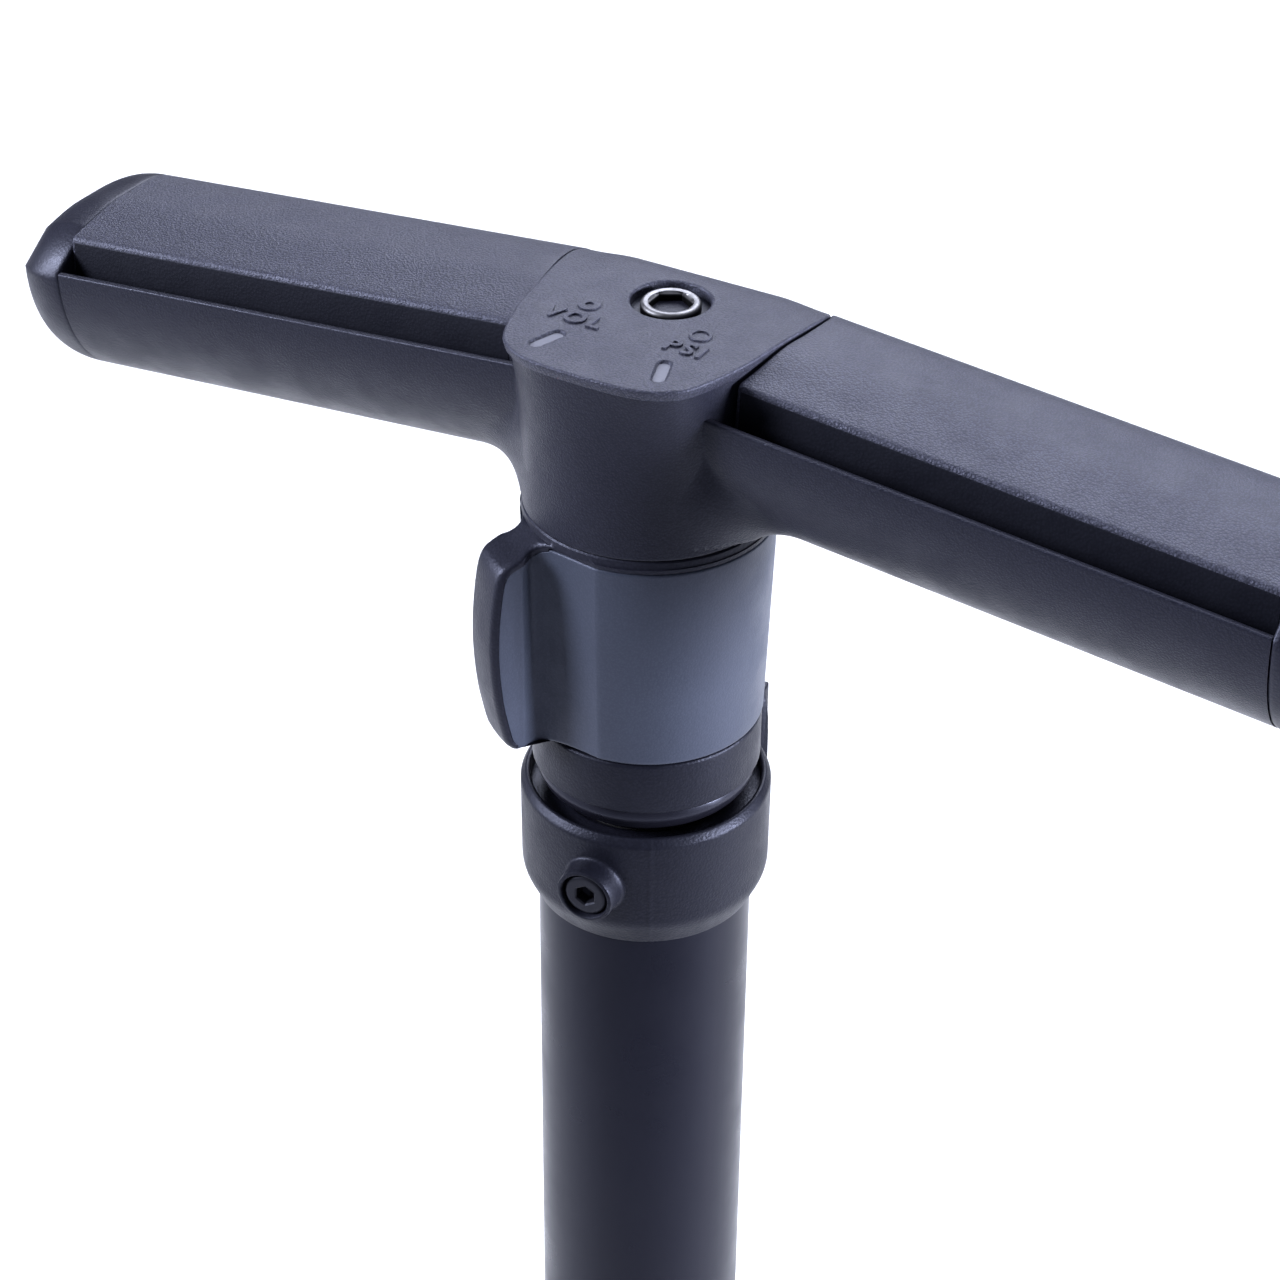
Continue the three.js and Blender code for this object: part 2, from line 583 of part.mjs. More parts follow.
function addHandle() {
  const reach = HANDLE_WIDTH / 2;
  const armEnd = reach - END_CAP_LENGTH;
  const arm = alongArm(armSection(), 0, armEnd);
  const mirror = (geometry) => weld(geometry.clone().scale(-1, 1, 1));
  const blockR = HEAD_BLOCK_R + CLEAR;
  const body = solid(arm).add(solid(mirror(arm))).add(solid(hubFlank()))
    .subtract(solid(disc(blockR, HUB_Z - 1, HEAD_BLOCK_TOP + CLEAR, MID)))
    .subtract(solid(disc(BOLT_R + CLEAR, HUB_Z, PLATE_Z, SMALL).translate(0, BOLT_Y, 0)))
    .subtract(solid(disc(BOLT_HEAD_R + 1.6, 106, PLATE_Z, MID).translate(0, BOLT_Y, 0)));
  add(top, 'handle_body', body, blackPlastic);

  const markAt = (side) => {
    const pill = new THREE.Shape();
    pill.absarc(0, 2.3, 1, 0, HALF_TURN, false);
    pill.absarc(0, -2.3, 1, HALF_TURN, 2 * HALF_TURN, false);
    return { pill, x: side * 10.4, turn: side * rad(18) };
  };
  // The cover's top falls away towards its back edge, as the pads beside it do.
  const crown = new THREE.Shape([
    [-26, PLATE_FLOOR], [-26, PLATE_Z], [8, PLATE_Z], [17, PLATE_Z - 0.9], [20.5, PLATE_Z - 2.1],
    [24, PLATE_Z - 3.2], [24, PLATE_FLOOR],
  ].map(([y, z]) => new THREE.Vector2(y, z)));
  const alongX = new THREE.Matrix4().makeBasis(
    new THREE.Vector3(0, 1, 0), new THREE.Vector3(0, 0, 1), new THREE.Vector3(1, 0, 0));
  const crownBar = new THREE.ExtrudeGeometry(crown, { depth: 60, bevelEnabled: false })
    .translate(0, 0, -30).applyMatrix4(alongX);
  let cover = solid(slab(mirroredShape(plateHalf(0)), PLATE_FLOOR, PLATE_Z, 0.5)).intersect(solid(crownBar))
    .subtract(solid(disc(BOLT_HEAD_R + 1.6, PLATE_FLOOR - 1, PLATE_Z + 1, MID).translate(0, BOLT_Y, 0)));
  for (const [name, side] of [['volume_mark', -1], ['pressure_mark', 1]]) {
    const { pill, x, turn } = markAt(side);
    const place = (geometry) => geometry.rotateZ(turn).translate(x, -15, 0);
    const pocket = slab(pill, PLATE_Z - 1.2, PLATE_Z + 1, 0, 4).scale(1.3, 1.1, 1);
    cover = cover.subtract(solid(place(pocket)));
    add(top, name, place(slab(pill, PLATE_Z - 1.2 + CLEAR, PLATE_Z - 0.3, 0, 4)), markPaint);
  }
  add(top, 'hub_cover', cover, gripRubber);

  const clearance = solid(slab(mirroredShape(plateHalf(0.5)), ARM_SEAT_Z - 8, PLATE_Z + 6));
  const pad = geometryOf(solid(alongArm(padSection(), 10, armEnd)).subtract(clearance));
  add(top, 'right_grip_pad', pad, gripRubber);
  add(top, 'left_grip_pad', mirror(pad), gripRubber);

  // Each end cap closes an arm with a bevelled oval of the whole section.
  const capSection = [...armOval(14), ...padSection().slice(4)];
  const shape = new THREE.Shape(capSection.map(([y, z]) => new THREE.Vector2(y, z)));
  const capDepth = END_CAP_LENGTH - CLEAR;
  const bevel = 5;
  const cap = new THREE.ExtrudeGeometry(shape, {
    depth: capDepth - bevel, bevelThickness: bevel, bevelSize: bevel, bevelOffset: -bevel, bevelSegments: 3,
  });
  const axes = new THREE.Matrix4().makeBasis(
    new THREE.Vector3(0, 1, 0), new THREE.Vector3(0, 0, 1), new THREE.Vector3(1, 0, -ARM_DROOP));
  const half = solid(cap.applyMatrix4(axes)
    .translate(armEnd + CLEAR, 0, -ARM_DROOP * (armEnd + CLEAR)));
  const cut = solid(block(armEnd + CLEAR, reach + 20, -60, 60, 40, 160));
  const capGeometry = geometryOf(half.intersect(cut));
  add(top, 'right_end_cap', capGeometry, blackPlastic);
  add(top, 'left_end_cap', mirror(capGeometry), blackPlastic);
}

function addHeadFixing() {
  const head = solid(turned([
    [0, HEAD_BLOCK_Z], [ROD_R + CLEAR, HEAD_BLOCK_Z], [ROD_R + CLEAR, HUB_Z + 0.4],
    [HEAD_BLOCK_R, HUB_Z + 0.4], [HEAD_BLOCK_R, HEAD_BLOCK_TOP], [0, HEAD_BLOCK_TOP],
  ], MID)).subtract(solid(
    disc(BOLT_R + CLEAR, HEAD_BLOCK_Z - 1, HEAD_BLOCK_TOP + 1, SMALL).translate(0, BOLT_Y, 0)));
  add(top, 'rod_head', head, alloy);
  const washerTop = 107;
  add(top, 'bolt_washer', ring(BOLT_R + CLEAR, BOLT_HEAD_R + 1.2, washerTop - 0.7, washerTop, SMALL)
    .translate(0, BOLT_Y, 0), steel);
  const headFoot = washerTop + CLEAR;
  const headTop = PLATE_Z - 0.2;
  const bolt = solid(turned([
    [0, HEAD_BLOCK_Z + 2], [BOLT_R, HEAD_BLOCK_Z + 2], [BOLT_R, headFoot], [BOLT_HEAD_R, headFoot],
    [BOLT_HEAD_R, headTop - 0.6], [BOLT_HEAD_R - 0.6, headTop], [0, headTop],
  ], SMALL + 4)).subtract(solid(hexSocket(HANDLE_SOCKET, headTop - 3, headTop + 1)));
  add(top, 'handle_bolt', geometryOf(bolt).translate(0, BOLT_Y, 0), steel);
}

// ---- Base ----------------------------------------------------------------------------------

// Half outline of the base, from front to back.
function baseHalf() {
  const w = BASE_WIDTH / 2;
  const front = smooth([[0, -BASE_DEPTH_FRONT], [24, -BASE_DEPTH_FRONT + 5], [37, -66], [42, -45], [58, -31],
    [w - 26, -26]], 14);
  const wing = smooth([[w - 26, -26], [w - 6, -20], [w, -2], [w - 8, 15], [w - 30, 20]], 9).slice(1);
  const back = smooth([[w - 30, 20], [56, 25], [30, 38], [22, 56], [12, BASE_DEPTH_REAR - 2],
    [0, BASE_DEPTH_REAR]], 11).slice(1);
  return [...front, ...wing, ...back];
}

// Outline of the rubber tread on one wing.
function treadShape(grow) {
  const inner = 58 - grow;
  const outer = BASE_WIDTH / 2 - 10 + grow;
  const half = 17 + grow;
  const r = 7;
  const shape = new THREE.Shape();
  shape.absarc(outer - r, half - r - 5, r, 0, HALF_TURN / 2, false);
  shape.absarc(inner + r, half - r, r, HALF_TURN / 2, HALF_TURN, false);
  shape.absarc(inner + r, -half + r, r, HALF_TURN, 1.5 * HALF_TURN, false);
  shape.absarc(outer - r, -half + r, r, 1.5 * HALF_TURN, 2 * HALF_TURN, false);
  return shape;
}

const tiltGauge = (geometry) => geometry.rotateX(rad(GAUGE_TILT)).translate(0, GAUGE_Y, GAUGE_Z);
const OUTLET_SEAT_Y = BASE_DEPTH_REAR - 6;
const OUTLET_R = 5.2;

function addBase() {
  const skirt = SOCKET_R + 22;
  const mound = turned([
    [0, BASE_TOP - 2], [skirt, BASE_TOP - 2], [skirt - 3, BASE_TOP + 1.5], [skirt - 13, BASE_TOP + 7],
    [SOCKET_R + 2, BASE_TOP + 18], [SOCKET_R, SOCKET_TOP - 1.5], [SOCKET_R - 1.5, SOCKET_TOP],
    [0, SOCKET_TOP],
  ]);
  const cradle = solid(tiltGauge(disc(GAUGE_R + CLEAR + 2, -26, 8)))
    .intersect(solid(block(-60, 60, -120, 20, BASE_BOTTOM + 1, 90)));
  const heel = disc(12, 0, BASE_DEPTH_REAR - 8, SMALL).rotateX(-HALF_TURN / 2).translate(0, 4, PASSAGE_Z + 2);
  const heelCut = solid(block(-30, 30, 0, 90, BASE_BOTTOM + 1, 60));
  const chamber = disc(VALVE_R + CLEAR, PASSAGE_Z - 4, BARREL_FOOT_Z, MID);
  const passage = disc(PASSAGE_R, -44, OUTLET_SEAT_Y, SMALL).rotateX(-HALF_TURN / 2)
    .translate(0, 0, PASSAGE_Z);
  const outletBore = disc(OUTLET_R + CLEAR, OUTLET_SEAT_Y - 10, BASE_DEPTH_REAR + 8, SMALL)
    .rotateX(-HALF_TURN / 2).translate(0, 0, PASSAGE_Z);
  let base = solid(slab(mirroredShape(baseHalf()), BASE_BOTTOM, BASE_TOP, 2.5))
    .add(solid(mound)).add(cradle).add(solid(heel).intersect(heelCut))
    .subtract(solid(disc(BARREL_R + CLEAR, BARREL_FOOT_Z - CLEAR, SOCKET_TOP + 1)))
    .subtract(solid(chamber))
    .subtract(solid(passage))
    .subtract(solid(outletBore))
    .subtract(solid(tiltGauge(disc(GAUGE_R + CLEAR, -CLEAR, 40))))
    .subtract(solid(tiltGauge(disc(GAUGE_R + BEZEL_WALL + 2 * CLEAR, BEZEL_FOOT - CLEAR, 40))))
    .subtract(solid(tiltGauge(disc(3.4, -18, 1, SMALL))));
  for (const side of [-1, 1]) {
    const recess = solid(slab(treadShape(CLEAR), BASE_TOP - TREAD_RECESS, BASE_TOP + 5, 0, 4));
    base = base.subtract(side < 0 ? recess.mirror([1, 0, 0]) : recess);
  }
  add(pump, 'base_frame', base, basePlastic);

  const treadFoot = BASE_TOP - TREAD_RECESS + CLEAR;
  let tread = solid(slab(treadShape(0), treadFoot, treadFoot + TREAD_THICK - 1.2, 0, 4));
  const ribGap = 9;
  for (let x = 66; x < BASE_WIDTH / 2 - 14; x += ribGap) {
    tread = tread.add(solid(block(x - 1.8, x + 1.8, -12, 10, treadFoot + 1, treadFoot + TREAD_THICK)));
  }
  add(pump, 'foot_tread_right', tread, sealRubber);
  add(pump, 'foot_tread_left', tread.mirror([1, 0, 0]), sealRubber);

  const sole = [[0, 0], [9, 0], [10, 1], [10, SOLE_HEIGHT], [0, SOLE_HEIGHT]];
  const wingX = BASE_WIDTH / 2 - 17;
  const places = [
    ['sole_centre', 0, 0], ['sole_left', -wingX, -3], ['sole_right', wingX, -3],
    ['sole_front', 0, -BASE_DEPTH_FRONT + 17], ['sole_rear', 0, BASE_DEPTH_REAR - 15],
  ];
  for (const [name, x, y] of places) {
    add(pump, name, turned(sole, SMALL).translate(x, y, 0), sealRubber);
  }
}

function addValve() {
  const inlet = 2.2;
  const bore = 4.2;
  const high = BARREL_FOOT_Z - 2 * CLEAR;
  add(pump, 'valve_body', turned([
    [bore, VALVE_Z], [VALVE_R, VALVE_Z], [VALVE_R, high], [inlet, high], [inlet, high - 1.8],
    [bore, high - 3.4],
  ], MID), brass);
  add(pump, 'check_ball', new THREE.SphereGeometry(BALL_R, 16, 10).rotateX(HALF_TURN / 2)
    .translate(0, 0, BALL_Z), steel);

  const wire = 0.4;
  const coilR = 1.9;
  const turns = 3.5;
  const low = PASSAGE_Z - 4 + CLEAR + wire;
  const high2 = BALL_Z - BALL_R - CLEAR - wire;
  class Coil extends THREE.Curve {
    getPoint(t, target = new THREE.Vector3()) {
      const a = 2 * HALF_TURN * turns * t;
      return target.set(coilR * Math.cos(a), coilR * Math.sin(a), low + (high2 - low) * t);
    }
  }
  const section = new THREE.Shape();
  section.absarc(0, 0, wire, 0, 2 * HALF_TURN, false);
  add(pump, 'check_spring', new THREE.ExtrudeGeometry(section, {
    steps: 34, curveSegments: 3, bevelEnabled: false, extrudePath: new Coil(),
  }), steel);

  const sealY = (BARREL_BORE + BARREL_BORE - 3) / 2;
  const cord = [];
  for (let i = 0; i < 6; i += 1) {
    const a = (2 * HALF_TURN * i) / 6;
    cord.push([sealY + 1.1 * Math.cos(a), BARREL_FOOT_Z + 1.4 + 1.1 * Math.sin(a)]);
  }
  add(pump, 'barrel_seal', turned(cord, MID), sealRubber);
}

function addOutlet() {
  const bore = 2;
  const seat = OUTLET_SEAT_Y - 9;
  const shoulder = BASE_DEPTH_REAR + 1;
  const tip = shoulder + 24;
  const profile = [[bore, seat], [OUTLET_R, seat], [OUTLET_R, shoulder], [3.4, shoulder]];
  for (let i = 0; i < 3; i += 1) {
    const y = shoulder + 8 + i * 4.5;
    profile.push([3.4, y], [4.3, y], [3.4, y + 4]);
  }
  profile.push([3.4, tip], [bore, tip]);
  add(pump, 'hose_outlet', turned(profile, SMALL).rotateX(-HALF_TURN / 2).translate(0, 0, PASSAGE_Z), brass);
  const nut = solid(turned([[0, 0], [8, 0], [8, 5.5], [0, 5.5]], 6))
    .subtract(solid(disc(3.4 + CLEAR, -1, 7, SMALL)));
  const placedNut = geometryOf(nut).rotateX(-HALF_TURN / 2).translate(0, shoulder + CLEAR, PASSAGE_Z);
  add(pump, 'outlet_nut', placedNut, steel);
}

// ---- Gauge ---------------------------------------------------------------------------------

const DIAL_Z = 13;
const DIAL_THICK = 1.2;

function addGauge() {
  const inner = GAUGE_R - GAUGE_WALL;
  const stemR = 3;
  add(gauge, 'gauge_housing', turned([
    [stemR + CLEAR, 0], [GAUGE_R, 0], [GAUGE_R, GAUGE_DEPTH], [inner, GAUGE_DEPTH], [inner, 2.5],
    [stemR + CLEAR, 2.5],
  ]), blackPlastic);
  add(gauge, 'gauge_stem', turned([
    [1, -16], [stemR, -16], [stemR, 2.5 + CLEAR], [5, 2.5 + CLEAR], [5, 5], [1, 5],
  ], SMALL), brass);

  // Bourdon tube: a flattened tube bent into a C that uncurls as the pressure rises.
  const flat = new THREE.Shape();
  flat.absellipse(0, 0, 1.2, 2.6, 0, 2 * HALF_TURN, false, 0);
  class Bow extends THREE.Curve {
    getPoint(t, target = new THREE.Vector3()) {
      const a = rad(-90 + 250 * t);
      const r = 6.8 + 14.2 * Math.min(1, t * 4);
      return target.set(r * Math.cos(a), r * Math.sin(a), 7.6);
    }
  }
  add(gauge, 'bourdon_tube', new THREE.ExtrudeGeometry(flat, {
    steps: 22, curveSegments: 5, bevelEnabled: false, extrudePath: new Bow(),
  }), brass);

  const spindleR = 1.2;
  add(gauge, 'gauge_dial', ring(spindleR + RUN, inner - CLEAR, DIAL_Z, DIAL_Z + DIAL_THICK), dialWhite);
  const pointer = new THREE.Shape();
  pointer.moveTo(-9, -1.6);
  pointer.lineTo(0, -2.2);
  pointer.lineTo(24, -0.4);
  pointer.lineTo(24, 0.4);
  pointer.lineTo(0, 2.2);
  pointer.lineTo(-9, 1.6);
  const needleZ = DIAL_Z + DIAL_THICK + 1.6;
  const needle = solid(slab(pointer, needleZ, needleZ + 0.8))
    .add(solid(disc(spindleR, DIAL_Z - 2, needleZ + 0.4, SMALL)))
    .rotate([0, 0, NEEDLE_REST]);
  add(gauge, 'gauge_needle', needle, needleRed);
  add(gauge, 'needle_cap', turned([
    [0, needleZ + 0.8 + CLEAR], [3.2, needleZ + 0.8 + CLEAR], [3.2, needleZ + 1.8], [2, needleZ + 2.4],
    [0, needleZ + 2.5],
  ], SMALL), blackPlastic);

  const lensLow = GAUGE_DEPTH + CLEAR;
  const lensHigh = lensLow + 2;
  add(gauge, 'gauge_lens', disc(GAUGE_R - 0.3, lensLow, lensHigh), lensClear);
  const bezelIn = GAUGE_R + CLEAR;
  const bezelOut = bezelIn + BEZEL_WALL;
  const bezelTop = lensHigh + CLEAR + 1.6;
  add(gauge, 'gauge_bezel', turned([
    [bezelIn, BEZEL_FOOT], [bezelOut, BEZEL_FOOT], [bezelOut, bezelTop - 1.4], [bezelOut - 1.4, bezelTop],
    [inner - 0.4, bezelTop], [inner - 1.4, lensHigh + CLEAR], [bezelIn, lensHigh + CLEAR],
  ]), blackPlastic);
}

addBarrel();
addCollar();
addPiston();
addPlunger();
addStopRing();
addSelector();
addHandle();
addHeadFixing();
addBase();
addValve();
addOutlet();
addGauge();

export default pump;
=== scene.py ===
import math

import bmesh
import bpy
import numpy as np
from mathutils import Matrix, Vector


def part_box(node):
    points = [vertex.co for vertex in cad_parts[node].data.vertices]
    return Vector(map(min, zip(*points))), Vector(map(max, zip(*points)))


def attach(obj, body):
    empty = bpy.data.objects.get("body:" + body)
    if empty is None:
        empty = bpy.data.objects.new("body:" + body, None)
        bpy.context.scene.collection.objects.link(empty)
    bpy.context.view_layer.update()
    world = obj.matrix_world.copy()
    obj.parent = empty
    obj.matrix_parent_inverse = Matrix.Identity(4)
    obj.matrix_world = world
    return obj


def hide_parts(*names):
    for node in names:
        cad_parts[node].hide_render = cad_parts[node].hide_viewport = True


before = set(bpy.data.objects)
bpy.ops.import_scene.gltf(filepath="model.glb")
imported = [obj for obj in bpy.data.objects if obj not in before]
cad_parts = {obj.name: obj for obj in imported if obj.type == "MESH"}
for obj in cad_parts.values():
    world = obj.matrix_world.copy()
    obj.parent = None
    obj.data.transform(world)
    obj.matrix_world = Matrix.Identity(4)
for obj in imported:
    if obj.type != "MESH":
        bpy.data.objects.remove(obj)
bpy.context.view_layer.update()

# Looks of a dual-mode floor pump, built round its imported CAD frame.
# Sizes are millimetres until mesh_piece turns them into metres. +Z is up, the front faces -Y.

MM = 0.001

# ---- Places taken from the frame ------------------------------------------------------------

COLLAR_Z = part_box("clamp_collar")[0].z / MM
HANDLE_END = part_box("right_end_cap")[1].x / MM
CAP_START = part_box("right_end_cap")[0].x / MM
PLATE_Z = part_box("hub_cover")[1].z / MM - COLLAR_Z
HUB_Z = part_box("selector_core")[1].z / MM - COLLAR_Z + 0.3
SELECTOR_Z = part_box("selector_cover")[0].z / MM - COLLAR_Z
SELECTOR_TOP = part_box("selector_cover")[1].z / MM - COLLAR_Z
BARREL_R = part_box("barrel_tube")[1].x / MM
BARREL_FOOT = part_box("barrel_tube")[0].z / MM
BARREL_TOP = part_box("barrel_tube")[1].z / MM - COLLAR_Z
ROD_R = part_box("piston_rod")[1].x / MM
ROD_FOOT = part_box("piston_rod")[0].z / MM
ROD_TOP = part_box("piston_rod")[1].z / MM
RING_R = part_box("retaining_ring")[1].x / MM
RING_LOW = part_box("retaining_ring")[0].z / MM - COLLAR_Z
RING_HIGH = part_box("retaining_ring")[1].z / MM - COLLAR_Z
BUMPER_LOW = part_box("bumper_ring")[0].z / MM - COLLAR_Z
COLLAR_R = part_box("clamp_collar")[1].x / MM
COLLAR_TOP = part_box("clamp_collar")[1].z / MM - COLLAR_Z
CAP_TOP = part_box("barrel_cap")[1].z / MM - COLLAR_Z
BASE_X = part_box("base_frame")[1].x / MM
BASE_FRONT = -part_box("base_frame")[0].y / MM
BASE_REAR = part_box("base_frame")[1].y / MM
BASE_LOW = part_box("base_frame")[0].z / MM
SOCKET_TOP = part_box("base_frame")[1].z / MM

NECK_R = 21.15
SLEEVE_FOOT_R = 20.2
SLEEVE_TOP_R = 21.5
MARK_AZIMUTH = math.radians(34)
DROOP = 0.092
BOLT_Y = 6.4


# ---- Mesh helpers -----------------------------------------------------------------------------

def rounded(path, steps=4, closed=True):
    """Rounds a polyline of (x, y, cut) corners: each corner with a cut becomes a parabola that leaves
    the two sides at that distance before and after it."""
    corners = np.array([p[:2] for p in path], float)
    cuts = [p[2] if len(p) > 2 else 0.0 for p in path]
    t = np.linspace(0, 1, steps + 1)[:, None]
    out = []
    for i, (p, cut) in enumerate(zip(corners, cuts)):
        if cut == 0 or (not closed and i in (0, len(corners) - 1)):
            out.append(p[None, :])
            continue
        before = corners[i - 1] - p
        after = corners[(i + 1) % len(corners)] - p
        a = p + before * min(cut / np.linalg.norm(before), 0.49)
        b = p + after * min(cut / np.linalg.norm(after), 0.49)
        out.append((1 - t) ** 2 * a + 2 * t * (1 - t) * p + t ** 2 * b)
    return np.concatenate(out)


def smooth_through(points, count, closed=False):
    """Uniform Catmull-Rom curve through the points, sampled count times on each span."""
    p = np.array(points, float)
    if closed:
        p = np.concatenate([p[-1:], p, p[:2]])
    else:
        p = np.concatenate([2 * p[:1] - p[1:2], p, 2 * p[-1:] - p[-2:-1]])
    t = np.linspace(0, 1, count, endpoint=False)[:, None]
    spans = []
    for a, b, c, d in zip(p[:-3], p[1:-2], p[2:-1], p[3:]):
        spans.append(0.5 * (2 * b + (c - a) * t + (2 * a - 5 * b + 4 * c - d) * t ** 2
                            + (3 * b - a - 3 * c + d) * t ** 3))
    if not closed:
        spans.append(p[-2:-1])
    return np.concatenate(spans)


def turned(profile, count=96):
    """Surface of revolution about Z: each (radius, height) of the profile is carried round a full circle."""
    profile = np.asarray(profile, float)
    angle = np.linspace(0, 2 * math.pi, count, endpoint=False)
    x = profile[:, :1] * np.cos(angle)
    y = profile[:, :1] * np.sin(angle)
    z = np.repeat(profile[:, 1:2], count, axis=1)
    return np.stack([x, y, z], axis=-1)


def step(edge0, edge1, value):
    """Smooth step from 0 at edge0 to 1 at edge1."""
    t = np.clip((value - edge0) / (edge1 - edge0), 0, 1)
    return t * t * (3 - 2 * t)


def circle_row(radius, angle, z):
    """Row of a grid round Z: the radius, one or one per direction, at the height."""
    return np.stack(np.broadcast_arrays(radius * np.cos(angle), radius * np.sin(angle), z), axis=-1)


def arm_row(side, x, section):
    """Row of a grid across an arm: a (y, z) section at X, lowered by the handle's droop."""
    return np.stack(np.broadcast_arrays(side * x, section[:, 0], section[:, 1] - DROOP * x), axis=-1)


def pole(row):
    """Row shrunk to its middle, which closes the end of a grid."""
    return np.broadcast_to(row.mean(axis=0), row.shape)


def oval_half(start, end, count):
    """Lower half oval of the arm's section in (y, z), between two angles."""
    a = np.linspace(start, end, count)
    return np.stack([ARM_MID_Y + ARM_HALF * np.cos(a), LIP_Z + ARM_DEEP * np.sin(a)], axis=1)


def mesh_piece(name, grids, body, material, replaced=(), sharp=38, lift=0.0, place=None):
    """One object from grids of points in mm. Each grid is (points, rows wrap, columns wrap); its quads
    join neighbours, coincident points are merged, and the faces are turned outwards."""
    verts, faces, start = [], [], 0
    for points, wrap_rows, wrap_columns in grids:
        rows, columns = points.shape[:2]
        flat = points.reshape(-1, 3)
        if place is not None:
            flat = flat @ np.array(place.to_3x3()).T + np.array(place.translation)
        verts.append(flat + (0, 0, lift))
        r = np.arange(rows if wrap_rows else rows - 1)[:, None]
        c = np.arange(columns if wrap_columns else columns - 1)[None, :]
        r2, c2 = (r + 1) % rows, (c + 1) % columns
        quads = np.stack([r * columns + c, r * columns + c2, r2 * columns + c2, r2 * columns + c], axis=-1)
        faces.append(quads.reshape(-1, 4) + start)
        start += rows * columns
    mesh = bpy.data.meshes.new(name)
    mesh.from_pydata((np.concatenate(verts) * MM).tolist(), [], np.concatenate(faces).tolist())
    shell = bmesh.new()
    shell.from_mesh(mesh)
    bmesh.ops.remove_doubles(shell, verts=shell.verts, dist=2e-6)
    bmesh.ops.dissolve_degenerate(shell, edges=shell.edges, dist=1e-7)
    bmesh.ops.recalc_face_normals(shell, faces=shell.faces)
    shell.to_mesh(mesh)
    shell.free()
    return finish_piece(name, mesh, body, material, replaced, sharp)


def text_piece(name, text, size, depth, offset, place, bevel=0.0, spacing=1.0):
    """Mesh of raised letters in the built-in typeface: extruded, and moved to its place in metres."""
    curve = bpy.data.curves.new(name, "FONT")
    curve.body = text
    curve.size = size * MM
    curve.align_x = curve.align_y = "CENTER"
    curve.extrude = depth * MM
    curve.bevel_depth = bevel * MM
    curve.offset = offset * MM
    curve.space_character = spacing
    drawn = bpy.data.objects.new(name + "_outline", curve)
    bpy.context.scene.collection.objects.link(drawn)
    bpy.context.view_layer.update()
    mesh = bpy.data.meshes.new_from_object(drawn.evaluated_get(bpy.context.evaluated_depsgraph_get()))
    bpy.data.objects.remove(drawn)
    mesh.transform(place)
    mesh.name = name
    return mesh


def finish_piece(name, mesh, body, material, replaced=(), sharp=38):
    """Shades a mesh smooth up to the sharp angle and hands it to the frame."""
    mesh.shade_smooth()
    mesh.set_sharp_from_angle(angle=math.radians(sharp))
    mesh.materials.clear()
    mesh.materials.append(material)
    piece = bpy.data.objects.new(name, mesh)
    bpy.context.scene.collection.objects.link(piece)
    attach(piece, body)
    if replaced:
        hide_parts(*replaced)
    return piece


# ---- Materials --------------------------------------------------------------------------------

class Nodes:
    """Small builder for one procedural material round a Principled shader."""

    def __init__(self, name, **sockets):
        self.material = bpy.data.materials.new(name)
        self.material.use_nodes = True
        self.tree = self.material.node_tree
        self.shader = self.tree.nodes["Principled BSDF"]
        self.coords = self.tree.nodes.new("ShaderNodeTexCoord").outputs["Object"]
        for key, value in sockets.items():
            self.shader.inputs[key.replace("_", " ")].default_value = value

    def node(self, kind, links=(), **values):
        made = self.tree.nodes.new(kind)
        for key, value in values.items():
            if key in made.inputs:
                made.inputs[key].default_value = value
            else:
                setattr(made, key, value)
        for socket, source in links:
            self.tree.links.new(source, made.inputs[socket])
        return made

    def noise(self, scale, detail=3.0, roughness=0.55):
        made = self.node("ShaderNodeTexNoise", [("Vector", self.coords)], Scale=scale, Detail=detail)
        made.inputs["Roughness"].default_value = roughness
        return made.outputs["Fac"]

    def cells(self, scale):
        return self.node("ShaderNodeTexVoronoi", [("Vector", self.coords)], Scale=scale).outputs["Distance"]

    def multiply(self, first, second):
        made = self.node("ShaderNodeMix", [], data_type="RGBA", blend_type="MULTIPLY")
        made.inputs["Factor"].default_value = 1.0
        self.tree.links.new(first, made.inputs["A"])
        self.tree.links.new(second, made.inputs["B"])
        return made.outputs["Result"]

    def stretched_noise(self, stretch, scale):
        mapping = self.node("ShaderNodeMapping", [("Vector", self.coords)])
        mapping.inputs["Scale"].default_value = stretch
        links = [("Vector", mapping.outputs["Vector"])]
        return self.node("ShaderNodeTexNoise", links, Scale=scale, Detail=3.0).outputs["Fac"]

    def ramp(self, source, low, high, at=(0.35, 0.65)):
        made = self.node("ShaderNodeValToRGB", [("Fac", source)])
        ends = made.color_ramp.elements
        ends[0].position, ends[1].position = at
        ends[0].color = (*low, 1) if hasattr(low, "__len__") else (low, low, low, 1)
        ends[1].color = (*high, 1) if hasattr(high, "__len__") else (high, high, high, 1)
        return made.outputs["Color"]

    def bump(self, source, distance, strength=1.0, under=None):
        links = [("Height", source)]
        if under is not None:
            links.append(("Normal", under))
        made = self.node("ShaderNodeBump", links, Distance=distance, Strength=strength)
        return made.outputs["Normal"]

    def link(self, source, socket):
        self.tree.links.new(source, self.shader.inputs[socket])


